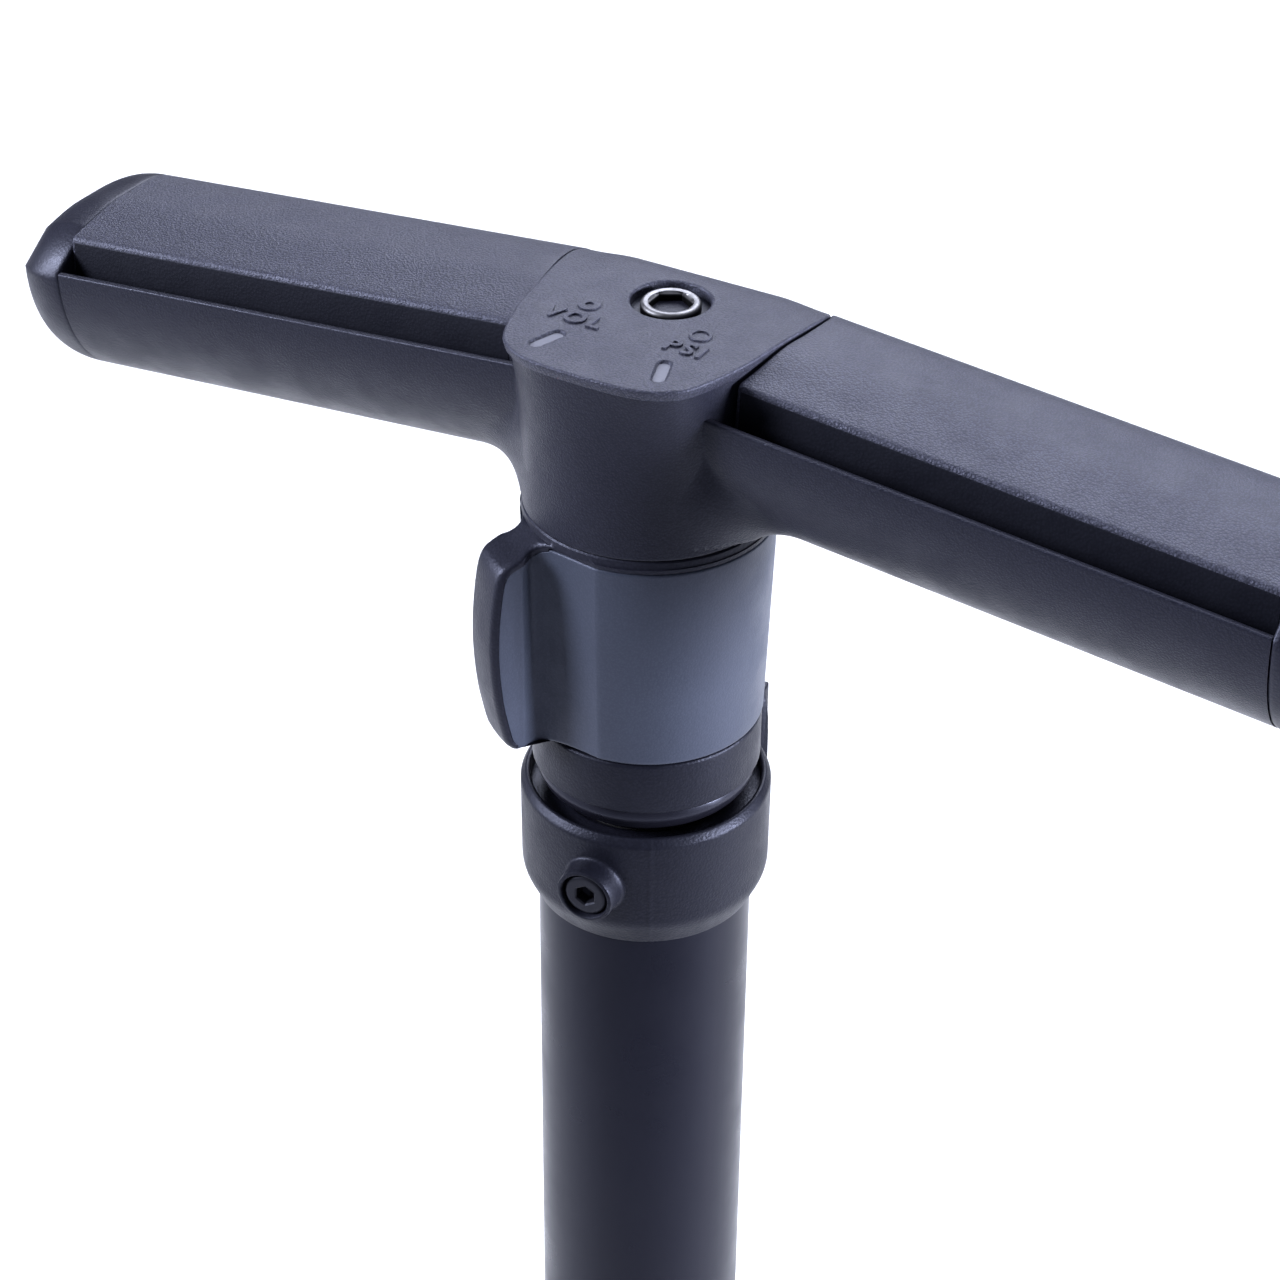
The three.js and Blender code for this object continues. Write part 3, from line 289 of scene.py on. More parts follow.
def grained_plastic(name, colour, roughness, grain_scale, grain_depth, vary=0.12, specular=0.5):
    """Moulded plastic: spark-eroded grain from cell noise in height and tone, faint clouds of colour
    and gloss."""
    n = Nodes(name, Specular_IOR_Level=specular, Specular_Tint=(0.70, 0.74, 1.0, 1))
    darker = tuple(c * (1 - vary) for c in colour)
    lighter = tuple(c * (1 + vary) for c in colour)
    speck = min(0.45, grain_depth * 5000)
    clouds = n.ramp(n.noise(28.0, 4.0), darker, lighter)
    n.link(n.multiply(clouds, n.ramp(n.cells(grain_scale), 1 + speck, 1 - speck, (0.15, 0.6))), "Base Color")
    n.link(n.ramp(n.noise(160.0, 3.0), roughness - 0.05, roughness + 0.06), "Roughness")
    coarse = n.bump(n.cells(grain_scale), grain_depth)
    fine = n.bump(n.noise(grain_scale * 2.3, 4.0, 0.65), grain_depth * 0.8, under=coarse)
    n.link(fine, "Normal")
    return n.material


def metal(name, colour, roughness, brush=(1.0, 1.0, 14.0), depth=3e-6, shade_below=None):
    """Machined metal: fine tool lines stretched along one direction over a slightly uneven gloss. Below a
    height its colour can be darkened, as painted shade for the inside of a socket."""
    n = Nodes(name, Metallic=1.0)
    lines = n.stretched_noise(brush, 900.0)
    tone = n.ramp(n.noise(60.0), tuple(c * 0.85 for c in colour), colour)
    # Painted shade: below this height the colour falls to 4 percent, standing in for the shade inside a
    # socket.
    if shade_below is not None:
        height = n.node("ShaderNodeSeparateXYZ", [("Vector", n.coords)]).outputs["Z"]
        deep = n.node("ShaderNodeMapRange", [("Value", height)])
        deep.inputs["From Min"].default_value = shade_below - 4e-4
        deep.inputs["From Max"].default_value = shade_below + 4e-4
        deep.inputs["To Min"].default_value = 0.04
        tone = n.multiply(tone, deep.outputs["Result"])
    n.link(tone, "Base Color")
    n.link(n.ramp(lines, roughness - 0.06, roughness + 0.1), "Roughness")
    n.link(n.bump(lines, depth), "Normal")
    return n.material


def rubber(name, colour, roughness, depth=2e-5):
    """Moulded rubber: dull, slightly mottled, with a soft sheen."""
    n = Nodes(name, Specular_IOR_Level=0.35, Sheen_Weight=0.15)
    n.link(n.ramp(n.noise(40.0, 4.0), tuple(c * 0.8 for c in colour), tuple(c * 1.25 for c in colour)),
           "Base Color")
    n.link(n.ramp(n.noise(220.0), roughness - 0.07, roughness + 0.07), "Roughness")
    n.link(n.bump(n.noise(1400.0, 2.0), depth), "Normal")
    return n.material


def tube_paint(name, colour):
    """Satin anodised tube: long faint draw lines along the tube and slow clouds in the gloss."""
    n = Nodes(name, Specular_IOR_Level=0.25, Specular_Tint=(0.70, 0.74, 1.0, 1))
    lines = n.stretched_noise((1.0, 1.0, 0.02), 700.0)
    n.link(n.ramp(n.noise(12.0, 3.0), tuple(c * 0.88 for c in colour), tuple(c * 1.12 for c in colour)),
           "Base Color")
    n.link(n.ramp(n.noise(90.0, 3.0), 0.27, 0.36), "Roughness")
    speckle = n.bump(n.noise(2600.0, 2.0), 4e-6)
    n.link(n.bump(lines, 6e-6, under=speckle), "Normal")
    return n.material


def clear_lens(name):
    """Clear moulded lens with hairline scratches in its gloss."""
    n = Nodes(name, Transmission_Weight=1.0, IOR=1.49, Base_Color=(0.97, 0.98, 0.99, 1))
    n.link(n.ramp(n.noise(300.0, 2.0), 0.02, 0.07), "Roughness")
    return n.material


BLACK = grained_plastic("satin_black", (0.0085, 0.0088, 0.0155), 0.42, 1900.0, 3.5e-5, 0.06, 0.30)
HUB_BLACK = grained_plastic("hub_black", (0.0088, 0.0092, 0.0165), 0.42, 2600.0, 4.5e-5, 0.06, 0.30)
GRIP = grained_plastic("grip_charcoal", (0.0280, 0.0288, 0.0440), 0.46, 2500.0, 8.5e-5, 0.05, 0.40)
# Near-black for the strip under each pad's front edge: painted shade of the groove there, not a material of
# its own.
CHANNEL_SHADE = grained_plastic("channel_painted_shade", (0.0045, 0.0048, 0.0080), 0.55, 1900.0, 3.0e-5, 0.06, 0.16)
SLATE = grained_plastic("slate_blue", (0.0310, 0.0370, 0.0560), 0.44, 2400.0, 1.6e-5, 0.05, 0.42)
COLLAR_BLACK = grained_plastic("collar_black", (0.0050, 0.0053, 0.0095), 0.44, 1900.0, 3.5e-5, 0.06, 0.24)
BASE = grained_plastic("base_coat", (0.0130, 0.0132, 0.0200), 0.5, 1300.0, 4.5e-5, 0.06, 0.36)
BARREL = tube_paint("barrel_anodised", (0.0036, 0.0038, 0.0080))
GLOSS = grained_plastic("bumper_gloss", (0.006, 0.006, 0.010), 0.30, 900.0, 2e-6, 0.06, 0.5)
RUBBER = rubber("sole_rubber", (0.012, 0.012, 0.014), 0.75)
DARK_STEEL = grained_plastic("black_oxide", (0.0050, 0.0050, 0.0070), 0.34, 3000.0, 4e-6, 0.2, 0.32)
STEEL = metal("bright_steel", (0.52, 0.53, 0.56), 0.26)
# The last argument darkens the colour inside the bolt's hex socket: painted shade.
RING_STEEL = metal("bolt_zinc", (0.19, 0.19, 0.205), 0.42, (1, 1, 1), 4e-5, (COLLAR_Z + PLATE_Z - 0.64) * MM)
ALLOY = metal("satin_alloy", (0.62, 0.63, 0.65), 0.36)
BRASS = metal("brass", (0.62, 0.43, 0.17), 0.3)
MARK = grained_plastic("mark_grey", (0.105, 0.108, 0.135), 0.5, 2500.0, 6e-6, 0.05, 0.35)
DIAL = grained_plastic("dial_white", (0.74, 0.74, 0.71), 0.5, 900.0, 2e-6, 0.02)
DIAL_INK = grained_plastic("dial_ink", (0.012, 0.012, 0.013), 0.5, 900.0, 2e-6)
NEEDLE = grained_plastic("needle_red", (0.45, 0.022, 0.014), 0.38, 900.0, 2e-6)
LENS = clear_lens("clear_lens")


# ---- Handle -----------------------------------------------------------------------------------

ARM_MID_Y = 4.2
ARM_HALF = 17.8
LIP_Z = 107.0
ARM_DEEP = 24.3
SEAT_Z = 103.7
PAD_TOP = 114.4
PAD_FRONT = -8.9
PAD_BACK = ARM_MID_Y + ARM_HALF
RAY_Z = 96.0
CROWN_START = 9.0
FOOT_CUT = 0.7


def plate_loop(count=24):
    """Plan outline of the hub's top, front first, as a closed smooth curve through its flank points."""
    half = [(0, -23), (9, -22.5), (14, -20.5), (17.3, -17), (20.3, -8), (22.1, 3), (23.5, 14), (22.6, 19),
            (19, 21.6), (9, 21.8)]
    left = [(-x, y) for x, y in reversed(half[1:])]
    return smooth_through(half + [(0, 21.8)] + left, count, closed=True)


def loop_radius(loop, angle, centre=(0.0, 0.0)):
    """Distance from a centre to a closed outline in each direction."""
    q = loop - np.array(centre)
    a = np.arctan2(q[:, 1], q[:, 0])
    order = np.argsort(a)
    a, r = a[order], np.hypot(q[order, 0], q[order, 1])
    wrapped = (angle + math.pi) % (2 * math.pi) - math.pi
    return np.interp(wrapped, np.concatenate([a - 2 * math.pi, a, a + 2 * math.pi]), np.tile(r, 3))


def crown_drop(y):
    """How far the handle's top falls towards its back edge: nothing up to the middle, then a quarter
    round that ends steep at the back."""
    t = np.clip((y - CROWN_START) / (PAD_BACK + 0.6 - CROWN_START), 0, 1)
    return 0.12 * t + 7.6 * (1 - np.sqrt(np.maximum(1 - t ** 3.4, 0)))


def arm_section():
    """Closed outline of an arm in (y, z): a half oval below the lip, the lip, the groove and the seat."""
    oval = oval_half(math.pi + 0.03, 2 * math.pi - 0.02, 120)
    upper = rounded([
        (PAD_BACK, LIP_Z - 0.3), (PAD_BACK - 0.1, LIP_Z + 0.25, 0.25), (PAD_BACK - 1.6, LIP_Z + 0.2, 0.3),
        (PAD_BACK - 2.6, SEAT_Z, 0.5), (PAD_FRONT - 1.2, SEAT_Z, 1.0), (PAD_FRONT - 3.5, LIP_Z + 0.1, 0.35),
        (ARM_MID_Y - ARM_HALF, LIP_Z + 0.15, 0.4), (ARM_MID_Y - ARM_HALF, LIP_Z - 0.6),
    ], closed=False)
    return np.concatenate([oval, upper])


def hub_radius(z, angle):
    """Radius of the hub at a height and direction: a cylinder that flares into the top plate's outline."""
    share = np.clip((z - HUB_Z) / (PLATE_Z - HUB_Z), 0, 1)
    flare = share ** 3.2
    return (NECK_R + 0.3 * share) * (1 - flare) + (loop_radius(plate_loop(), angle) - 0.55) * flare


def arm_surface(side):
    """Grid of an arm: its section carried out along X, falling with the droop. Near the hub each point
    moves out along its own ray until the smooth union of arm and hub is zero there, so the two flow
    together in a fillet that grows from the lip to the underside. The foot plane cuts it off."""
    section = arm_section()
    stations = np.concatenate([
        np.linspace(8, 14, 7), np.linspace(14.3, 36, 110), np.linspace(37, CAP_START, 22)])
    middle = np.array([ARM_MID_Y, RAY_Z])
    ahead = np.roll(section, -1, axis=0) - np.roll(section, 1, axis=0)
    normal = np.stack([ahead[:, 1], -ahead[:, 0]], axis=1)
    normal /= np.linalg.norm(normal, axis=1)[:, None]
    reach = np.linalg.norm(section - middle, axis=1)
    ray = (section - middle) / reach[:, None]
    lean = np.clip(np.abs((ray * normal).sum(axis=1)), 0.3, 1)
    below = step(LIP_Z - 0.8, LIP_Z - 3.5, section[:, 1])
    blend = 0.4 + 9.5 * step(LIP_Z - 6, LIP_Z - 20, section[:, 1]) * (0.3 + 0.7 * step(-1.0, -0.8, ray[:, 1]))
    x = stations[:, None]
    centre_z = middle[1] - DROOP * x
    low = np.zeros((len(stations), len(section)))
    high = low + 26.0
    for _ in range(26):
        out = (low + high) / 2
        y = middle[0] + (reach + out) * ray[:, 0]
        z = centre_z + (reach + out) * ray[:, 1]
        arm = out * lean
        hub = np.hypot(x, y) - hub_radius(z, np.arctan2(y, x)) + 0.03
        near = np.clip(1 - np.abs(arm - hub) / blend, 0, 1)
        inside = np.minimum(arm, hub) - near ** 2 * blend / 4 < 0
        low, high = np.where(inside, out, low), np.where(inside, high, out)
    out = reach + low * below
    foot = np.where(ray[:, 1] < -0.05, (HUB_Z + FOOT_CUT - centre_z) / np.minimum(ray[:, 1], -0.05), 99.0)
    out = np.maximum(reach, np.minimum(out, foot))
    points = np.stack([np.broadcast_to(side * x, out.shape), middle[0] + out * ray[:, 0],
                       centre_z + out * ray[:, 1]], axis=-1)
    return np.concatenate([pole(points[0])[None], points, pole(points[-1])[None]])


def hub_surface():
    """Grid of the hub: foot with a rounded edge, the flaring flank, and a hidden top under the cover."""
    angle = np.linspace(-math.pi, math.pi, 576, endpoint=False)
    top = PLATE_Z - 1.0
    heights = np.concatenate([[HUB_Z + 0.25], np.linspace(HUB_Z + 0.5, top, 60)])[:, None]
    radius = hub_radius(heights, angle[None, :])
    parting = np.exp(-((angle - math.radians(61 - 90)) * NECK_R / 0.25) ** 2)
    radius = radius + 0.09 * parting * step(HUB_Z + 3.6, HUB_Z + 2.6, heights)
    x, y = radius * np.cos(angle), radius * np.sin(angle)
    drop = crown_drop(y) * step(0.55, 1.0, (heights - HUB_Z) / (PLATE_Z - HUB_Z))
    wall = np.stack([x, y, np.broadcast_to(heights, x.shape) - drop], axis=-1)

    def ring(radii, z, crown=0.0):
        y = radii * np.sin(angle)
        return circle_row(radii, angle, z - crown * crown_drop(y))[None]

    rim, bore = radius[-1], ROD_R + 0.6
    return np.concatenate([
        ring(0.0, HUB_Z + 6), ring(bore, HUB_Z + 6), ring(bore, HUB_Z), ring(NECK_R - 0.3, HUB_Z),
        ring(NECK_R - 0.08, HUB_Z + 0.08), wall, ring(rim * 0.97, top - 0.1, 1),
        ring(rim * 0.6, top - 0.8, 1), ring(0.0, top - 1.0)])


def make_handle_body():
    grids = [(arm_surface(1), False, True), (arm_surface(-1), False, True), (hub_surface(), False, True)]
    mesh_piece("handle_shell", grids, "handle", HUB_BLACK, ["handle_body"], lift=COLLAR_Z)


def pad_section():
    """Outline of a grip pad in (y, z): front wall, mostly covered by the near-black strip of painted shade,
    crowned top, rounded back and a hidden foot.
    """
    y = np.linspace(PAD_FRONT + 1.3, PAD_BACK - 0.35, 60)
    rise = 2.1 * (1 - step(PAD_FRONT - 2, 5.0, y))
    crown = np.stack([y, PAD_TOP - rise - crown_drop(y)], axis=1)
    front = rounded([
        (PAD_FRONT - 0.5, SEAT_Z + 0.4), (PAD_FRONT, PAD_TOP - 2.2, 0.9), tuple(crown[3]),
    ], closed=False)
    back = rounded([
        tuple(crown[-1]), (PAD_BACK - 0.15, LIP_Z + 0.55, 0.4), (PAD_BACK - 2.0, LIP_Z + 0.4, 0.4),
        (PAD_BACK - 3.0, SEAT_Z + 0.4), (PAD_FRONT - 0.5, SEAT_Z + 0.4),
    ], closed=False)
    return np.concatenate([front[:-1], crown[3:], back[1:-1]])


def plate_half_width(y):
    """Half width of the top plate at each y."""
    loop = plate_loop()
    right = loop[loop[:, 0] > 0]
    order = np.argsort(right[:, 1])
    return np.interp(y, right[order, 1], right[order, 0])


def make_pads():
    """Grip pads: the section carried out from the hub cover's flank to the end cap, with its first
    rows drawn in to round the inner end."""
    section = pad_section()
    inward = section.mean(axis=0) - section
    inward /= np.linalg.norm(inward, axis=1)[:, None]
    inner = plate_half_width(np.minimum(section[:, 0], 19.5)) + 0.45
    stations = [(inset, inner + out) for inset, out in ((0.9, 0.0), (0.35, 0.0), (0.1, 0.12), (0.0, 0.4))]
    for share in np.linspace(0.02, 1, 30):
        stations.append((0.0, inner + 0.4 + (CAP_START - 0.5 - inner) * share))
    for name, side in (("left", -1), ("right", 1)):
        rows = [arm_row(side, x, section + inward * inset) for inset, x in stations]
        rows = [pole(rows[0])] + rows + [pole(rows[-1])]
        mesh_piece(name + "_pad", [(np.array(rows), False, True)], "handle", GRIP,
                   [name + "_grip_pad"], sharp=50, lift=COLLAR_Z)


def make_channels():
    """Near-black wall under the front edge of each pad, painting the shade of the groove there: a thin strip
    of rounded section carried along X.
    """
    strip = rounded([(PAD_FRONT - 0.62, SEAT_Z + 0.45, 0.15), (PAD_FRONT - 0.12, PAD_TOP - 3.0, 0.15),
                     (PAD_FRONT + 0.4, PAD_TOP - 2.85, 0.15), (PAD_FRONT + 0.4, SEAT_Z + 0.45, 0.15)])
    start = plate_half_width(PAD_FRONT) + 1.1
    x = np.concatenate([[start], np.linspace(start, CAP_START - 0.6, 30), [CAP_START - 0.6]])
    for name, side in (("left_channel", -1), ("right_channel", 1)):
        rows = arm_row(side, x[:, None], strip)
        for at in (0, -1):
            rows[at] = rows[at].mean(axis=0)
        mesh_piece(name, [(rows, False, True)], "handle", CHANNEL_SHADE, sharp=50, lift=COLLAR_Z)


def make_end_caps():
    """Each end cap carries the whole arm section outwards while it shrinks as a quarter oval."""
    section = np.concatenate([oval_half(math.pi, 2 * math.pi, 48), pad_section()[8:-8][::-1]])
    middle = np.array([ARM_MID_Y, 99.5])
    straight = 1.0
    stations = [(0.0, 0.0), (0.965, 0.0), (0.99, 0.15), (0.998, 0.5), (1.0, straight)]
    for t in np.linspace(0, math.pi / 2, 40)[1:]:
        stations.append((math.cos(t) ** 0.55, straight + (HANDLE_END - CAP_START - straight) * math.sin(t)))
    for name, side in (("left", -1), ("right", 1)):
        rows = [arm_row(side, CAP_START + along, middle + (section - middle) * share)
                for share, along in stations]
        rows.append(pole(rows[-1]))
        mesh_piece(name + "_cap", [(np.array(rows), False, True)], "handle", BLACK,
                   [name + "_end_cap"], sharp=60, lift=COLLAR_Z)


MARK_X = 10.4
MARK_Y = -15.0
MARK_TURN = math.radians(18)
MARK_LONG = 2.3
MARK_R = 1.0
LABEL_X = 10.2
LABEL_Y = -7.2
ICON_Y = -2.1
ICON_R = 1.9


def pill_distance(x, y, side):
    """Distance from the middle line of a mark's pill shape."""
    dx, dy = x - side * MARK_X, y - MARK_Y
    c, s = math.cos(side * MARK_TURN), math.sin(side * MARK_TURN)
    along = -s * dx + c * dy
    across = c * dx + s * dy
    return np.hypot(across, along - np.clip(along, -MARK_LONG, MARK_LONG))


def make_hub_cover():
    """Top plate on rays from the bolt's centre: its foot, side, rounded edge, crowned top with the two
    mark pockets sunk into it, and the rounded rim and wall of the bolt's hole."""
    angle = np.linspace(-math.pi, math.pi, 640, endpoint=False)
    outer = loop_radius(plate_loop(), angle, (0.0, BOLT_Y))
    hole, foot = 6.6, PLATE_Z - 6.2
    edge = 0.42
    rows = []

    def row(radius, z, face=False):
        x = radius * np.cos(angle)
        y = BOLT_Y + radius * np.sin(angle)
        pocket = np.minimum(pill_distance(x, y, -1), pill_distance(x, y, 1))
        sunk = 0.45 * (1 - step(MARK_R + 0.05, MARK_R + 0.32, pocket)) if face else 0.0
        corner = 0.8 * step(13, 23, np.abs(x)) * step(4, 20, y)
        rows.append(np.stack([x, y, z - crown_drop(y) - corner - sunk], axis=-1))

    row(outer * 0.9, PLATE_Z - 1.9)
    row(outer - 0.45, PLATE_Z - 1.9)
    row(outer - 0.25, PLATE_Z - 1.25)
    for t in np.linspace(0, math.pi / 2, 6):
        row(outer - edge + edge * math.cos(t), PLATE_Z - edge + edge * math.sin(t))
    for share in np.linspace(0, 1, 120)[1:-1]:
        row((outer - edge) * (1 - share) + (hole + 0.5) * share, PLATE_Z, True)
    for t in np.linspace(0, math.pi / 2, 5):
        row(hole + 0.5 - 0.5 * math.sin(t), PLATE_Z - 0.5 + 0.5 * math.cos(t))
    row(hole, foot)
    row(hole + 0.6, foot)
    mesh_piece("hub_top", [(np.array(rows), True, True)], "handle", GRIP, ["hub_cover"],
               sharp=50, lift=COLLAR_Z)


def make_marks():
    """Each mark is a pill-shaped inlay with a slightly domed face, on rings of its own outline."""
    a = np.linspace(0, 2 * math.pi, 64, endpoint=False)
    for name, node, side in (("mark_left", "volume_mark", -1), ("mark_right", "pressure_mark", 1)):
        rows = []
        for share, z in ((0.0, -1.1), (1.0, -1.1), (1.0, -0.5), (0.93, -0.42), (0.6, -0.4), (0.0, -0.38)):
            px = MARK_R * share * np.cos(a)
            py = MARK_R * share * np.sin(a) + MARK_LONG * np.tanh(np.sin(a) * 8) * share
            c, s = math.cos(side * MARK_TURN), math.sin(side * MARK_TURN)
            rows.append(np.stack([side * MARK_X + c * px - s * py, MARK_Y + s * px + c * py,
                                  np.full(len(a), PLATE_Z + z)], axis=-1))
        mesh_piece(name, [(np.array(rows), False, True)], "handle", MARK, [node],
                   lift=COLLAR_Z)


def hex_radius(angle, across_flats):
    """Distance from the centre to a regular hexagon in each direction."""
    folded = (angle + math.pi / 6) % (math.pi / 3) - math.pi / 6
    return across_flats / 2 / np.cos(folded)


def socket_bolt(head_r, head_low, head_top, shank_r, foot, across, deep, dish=0.0):
    """Socket screw: shank, head with a rounded rim, and a hexagon socket with a drilled cone at its foot."""
    angle = np.linspace(0, 2 * math.pi, 96, endpoint=False)
    hexagon = hex_radius(angle, across)
    round_r = 0.75
    rim = head_r - round_r
    outline = [(0.0, foot), (shank_r, foot), (shank_r, head_low), (head_r, head_low)]
    for t in np.linspace(0, math.pi / 2, 7):
        outline.append((rim + round_r * math.cos(t), head_top - round_r + round_r * math.sin(t)))
    outline += [(rim - 0.5, head_top - dish * 0.4), (hexagon + 0.35, head_top - dish),
                (hexagon + 0.05, head_top - dish - 0.18), (hexagon, head_top - dish - 0.4),
                (hexagon * 0.98, head_top - deep), (hexagon * 0.8, head_top - deep - 0.05),
                (0.0, head_top - deep - 0.9)]
    return np.array([circle_row(r, angle, z) for r, z in outline])


def make_handle_bolt():
    at = Matrix.Translation((0, BOLT_Y, 0))
    bolt = socket_bolt(5.0, PLATE_Z - 5.4, PLATE_Z - 0.2, 3.0, PLATE_Z - 21, 6.4, 3.4, dish=0.35)
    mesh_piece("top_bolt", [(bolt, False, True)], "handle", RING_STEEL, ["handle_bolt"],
               sharp=30, lift=COLLAR_Z, place=at)
    low, high = PLATE_Z - 6.7, PLATE_Z - 6.0
    washer = turned(rounded([(3.4, low, 0.1), (6.2, low, 0.1), (6.2, high, 0.2), (3.4, high, 0.2)]))
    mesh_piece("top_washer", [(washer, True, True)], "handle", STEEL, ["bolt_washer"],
               lift=COLLAR_Z, place=at)


def make_labels():
    """Beside each mark: three raised letters, and over them a ring with a thick or a thin band."""
    for name, text, x in (("label_volume", "VOL", -LABEL_X), ("label_pressure", "PSI", LABEL_X)):
        place = Matrix.Translation(Vector((x, LABEL_Y, COLLAR_Z + PLATE_Z + 0.02)) * MM)
        mesh = text_piece(name, text, 4.8, 0.3, 0.1, place, bevel=0.04, spacing=1.25)
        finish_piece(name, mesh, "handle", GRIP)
    low, high = PLATE_Z - 0.1, PLATE_Z + 0.32
    for name, x, inner in (("icon_wide_tyre", -LABEL_X, 0.7), ("icon_slim_tyre", LABEL_X, 1.35)):
        profile = rounded([(inner, low), (inner, high, 0.1), (ICON_R, high, 0.1), (ICON_R, low)])
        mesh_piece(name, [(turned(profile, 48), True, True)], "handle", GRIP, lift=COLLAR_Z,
                   place=Matrix.Translation((x, ICON_Y, 0)))


# ---- Selector ---------------------------------------------------------------------------------

FIN_HALF = 4.6
FIN_ROOT = 25.2
FRONT_TANGENT = math.radians(40)
BACK_TANGENT = math.radians(27)
FIN_CORNER = 1.3
BORDER = 1.35
SCOOP = 2.1
COVER_TOP = SELECTOR_TOP - 0.5
COVER_SKIN = 0.02
UNDER_COVER = 0.6


def sleeve_radius(z):
    """Radius of the sleeve, which widens a little from its foot to its top."""
    share = np.clip((z - SELECTOR_Z) / (SELECTOR_TOP - SELECTOR_Z), 0, 1)
    return SLEEVE_FOOT_R + (SLEEVE_TOP_R - SLEEVE_FOOT_R) * share


def fin_reach(inset=0.0):
    """Side outline of the fin as heights and reaches: a rounded foot corner, a bulged outer edge, a
    rounded top corner and a straight slope in to the sleeve. An inset draws it in on the outside."""
    foot, top = SELECTOR_Z, SELECTOR_TOP
    points = np.array([
        (27.6, foot), (28.6, foot + 1.3), (29.4, foot + 4.5), (30.4, foot + 10), (31.0, foot + 17),
        (31.0, foot + 23), (30.5, foot + 29), (29.8, foot + 33.5), (28.9, foot + 35.7), (27.6, foot + 36.7),
        (24.6, foot + 38.0), (21.4, top + 0.35)])
    curve = smooth_through(points, 10)
    ahead = np.gradient(curve, axis=0)
    outward = np.stack([ahead[:, 1], -ahead[:, 0]], axis=1) / np.linalg.norm(ahead, axis=1)[:, None]
    drawn = curve - outward * inset
    drawn[:, 1] = np.maximum.accumulate(drawn[:, 1])
    return drawn[:, 1] + np.arange(len(drawn)) * 1e-6, drawn[:, 0]


def fin_side(z, tangent, grow=0.0):
    """Side of the fin in plan: flat near the tip, then a scooped hollow, a cubic curve that dips in from
    the root and rises to meet the sleeve."""
    radius = sleeve_radius(z) + grow
    end = np.array([radius * math.cos(tangent), radius * math.sin(tangent)])
    half = FIN_HALF + grow
    dip = np.array([FIN_ROOT - 3.6, half - SCOOP])
    lead = np.array([end[0] + math.tan(tangent - math.radians(13)) * (end[1] - half), half])
    t = np.linspace(0, 1, 40)[:, None]
    start = np.array([FIN_ROOT, half])
    hollow = ((1 - t) ** 3 * start + 3 * t * (1 - t) ** 2 * dip + 3 * t ** 2 * (1 - t) * lead
              + t ** 3 * end)
    return np.concatenate([[(34.0, half)], hollow])


def fin_half_plan(reach, z, tangent):
    """Half plan of the fin from the middle of its tip, round the tip corner, to the sleeve."""
    side = fin_side(z, tangent)
    u = np.concatenate([reach - FIN_CORNER * (1 - np.cos(np.linspace(0, math.pi / 2, 9))),
                        np.linspace(reach - FIN_CORNER, side[-1, 0], 44)[1:]])
    w = np.interp(u, side[::-1, 0], side[::-1, 1])
    into = np.clip((u - (reach - FIN_CORNER)) / FIN_CORNER, 0, 1)
    w = w - FIN_CORNER * (1 - np.sqrt(1 - into ** 2))
    tip = np.linspace(0, w[0], 8)[:-1]
    face = np.stack([np.full(7, reach), tip], axis=1)
    plan = np.concatenate([face, np.stack([u, w], axis=1)])
    plan[:, 0] -= 0.35 * np.clip(plan[:, 1] / FIN_HALF, 0, 1) ** 2 * np.clip((reach - 22) / 6, 0, 1)
    return plan


def to_plan(uw, z):
    """Turns (reach, across) points of the selector into pump coordinates at a height."""
    a = -math.pi / 2 - MARK_AZIMUTH
    u, w = uw[:, 0], uw[:, 1]
    return np.stack([u * math.cos(a) - w * math.sin(a), u * math.sin(a) + w * math.cos(a),
                     np.broadcast_to(z, u.shape)], axis=-1)


def resample(path, count):
    """Points at even distances along a polyline."""
    along = np.concatenate([[0], np.cumsum(np.linalg.norm(np.diff(path, axis=0), axis=1))])
    at = np.linspace(0, along[-1], count)
    return np.stack([np.interp(at, along, path[:, 0]), np.interp(at, along, path[:, 1])], axis=1)


def full_plan(reach, z):
    """Closed plan of sleeve and fin at one height, front side first."""
    front = fin_half_plan(reach, z, FRONT_TANGENT)
    back = fin_half_plan(reach, z, BACK_TANGENT) * (1, -1)
    a = np.linspace(FRONT_TANGENT, 2 * math.pi - BACK_TANGENT, 140)[1:-1]
    r = sleeve_radius(z)
    arc = np.stack([r * np.cos(a), r * np.sin(a)], axis=1)
    return np.concatenate([front, arc, back[1:][::-1]])


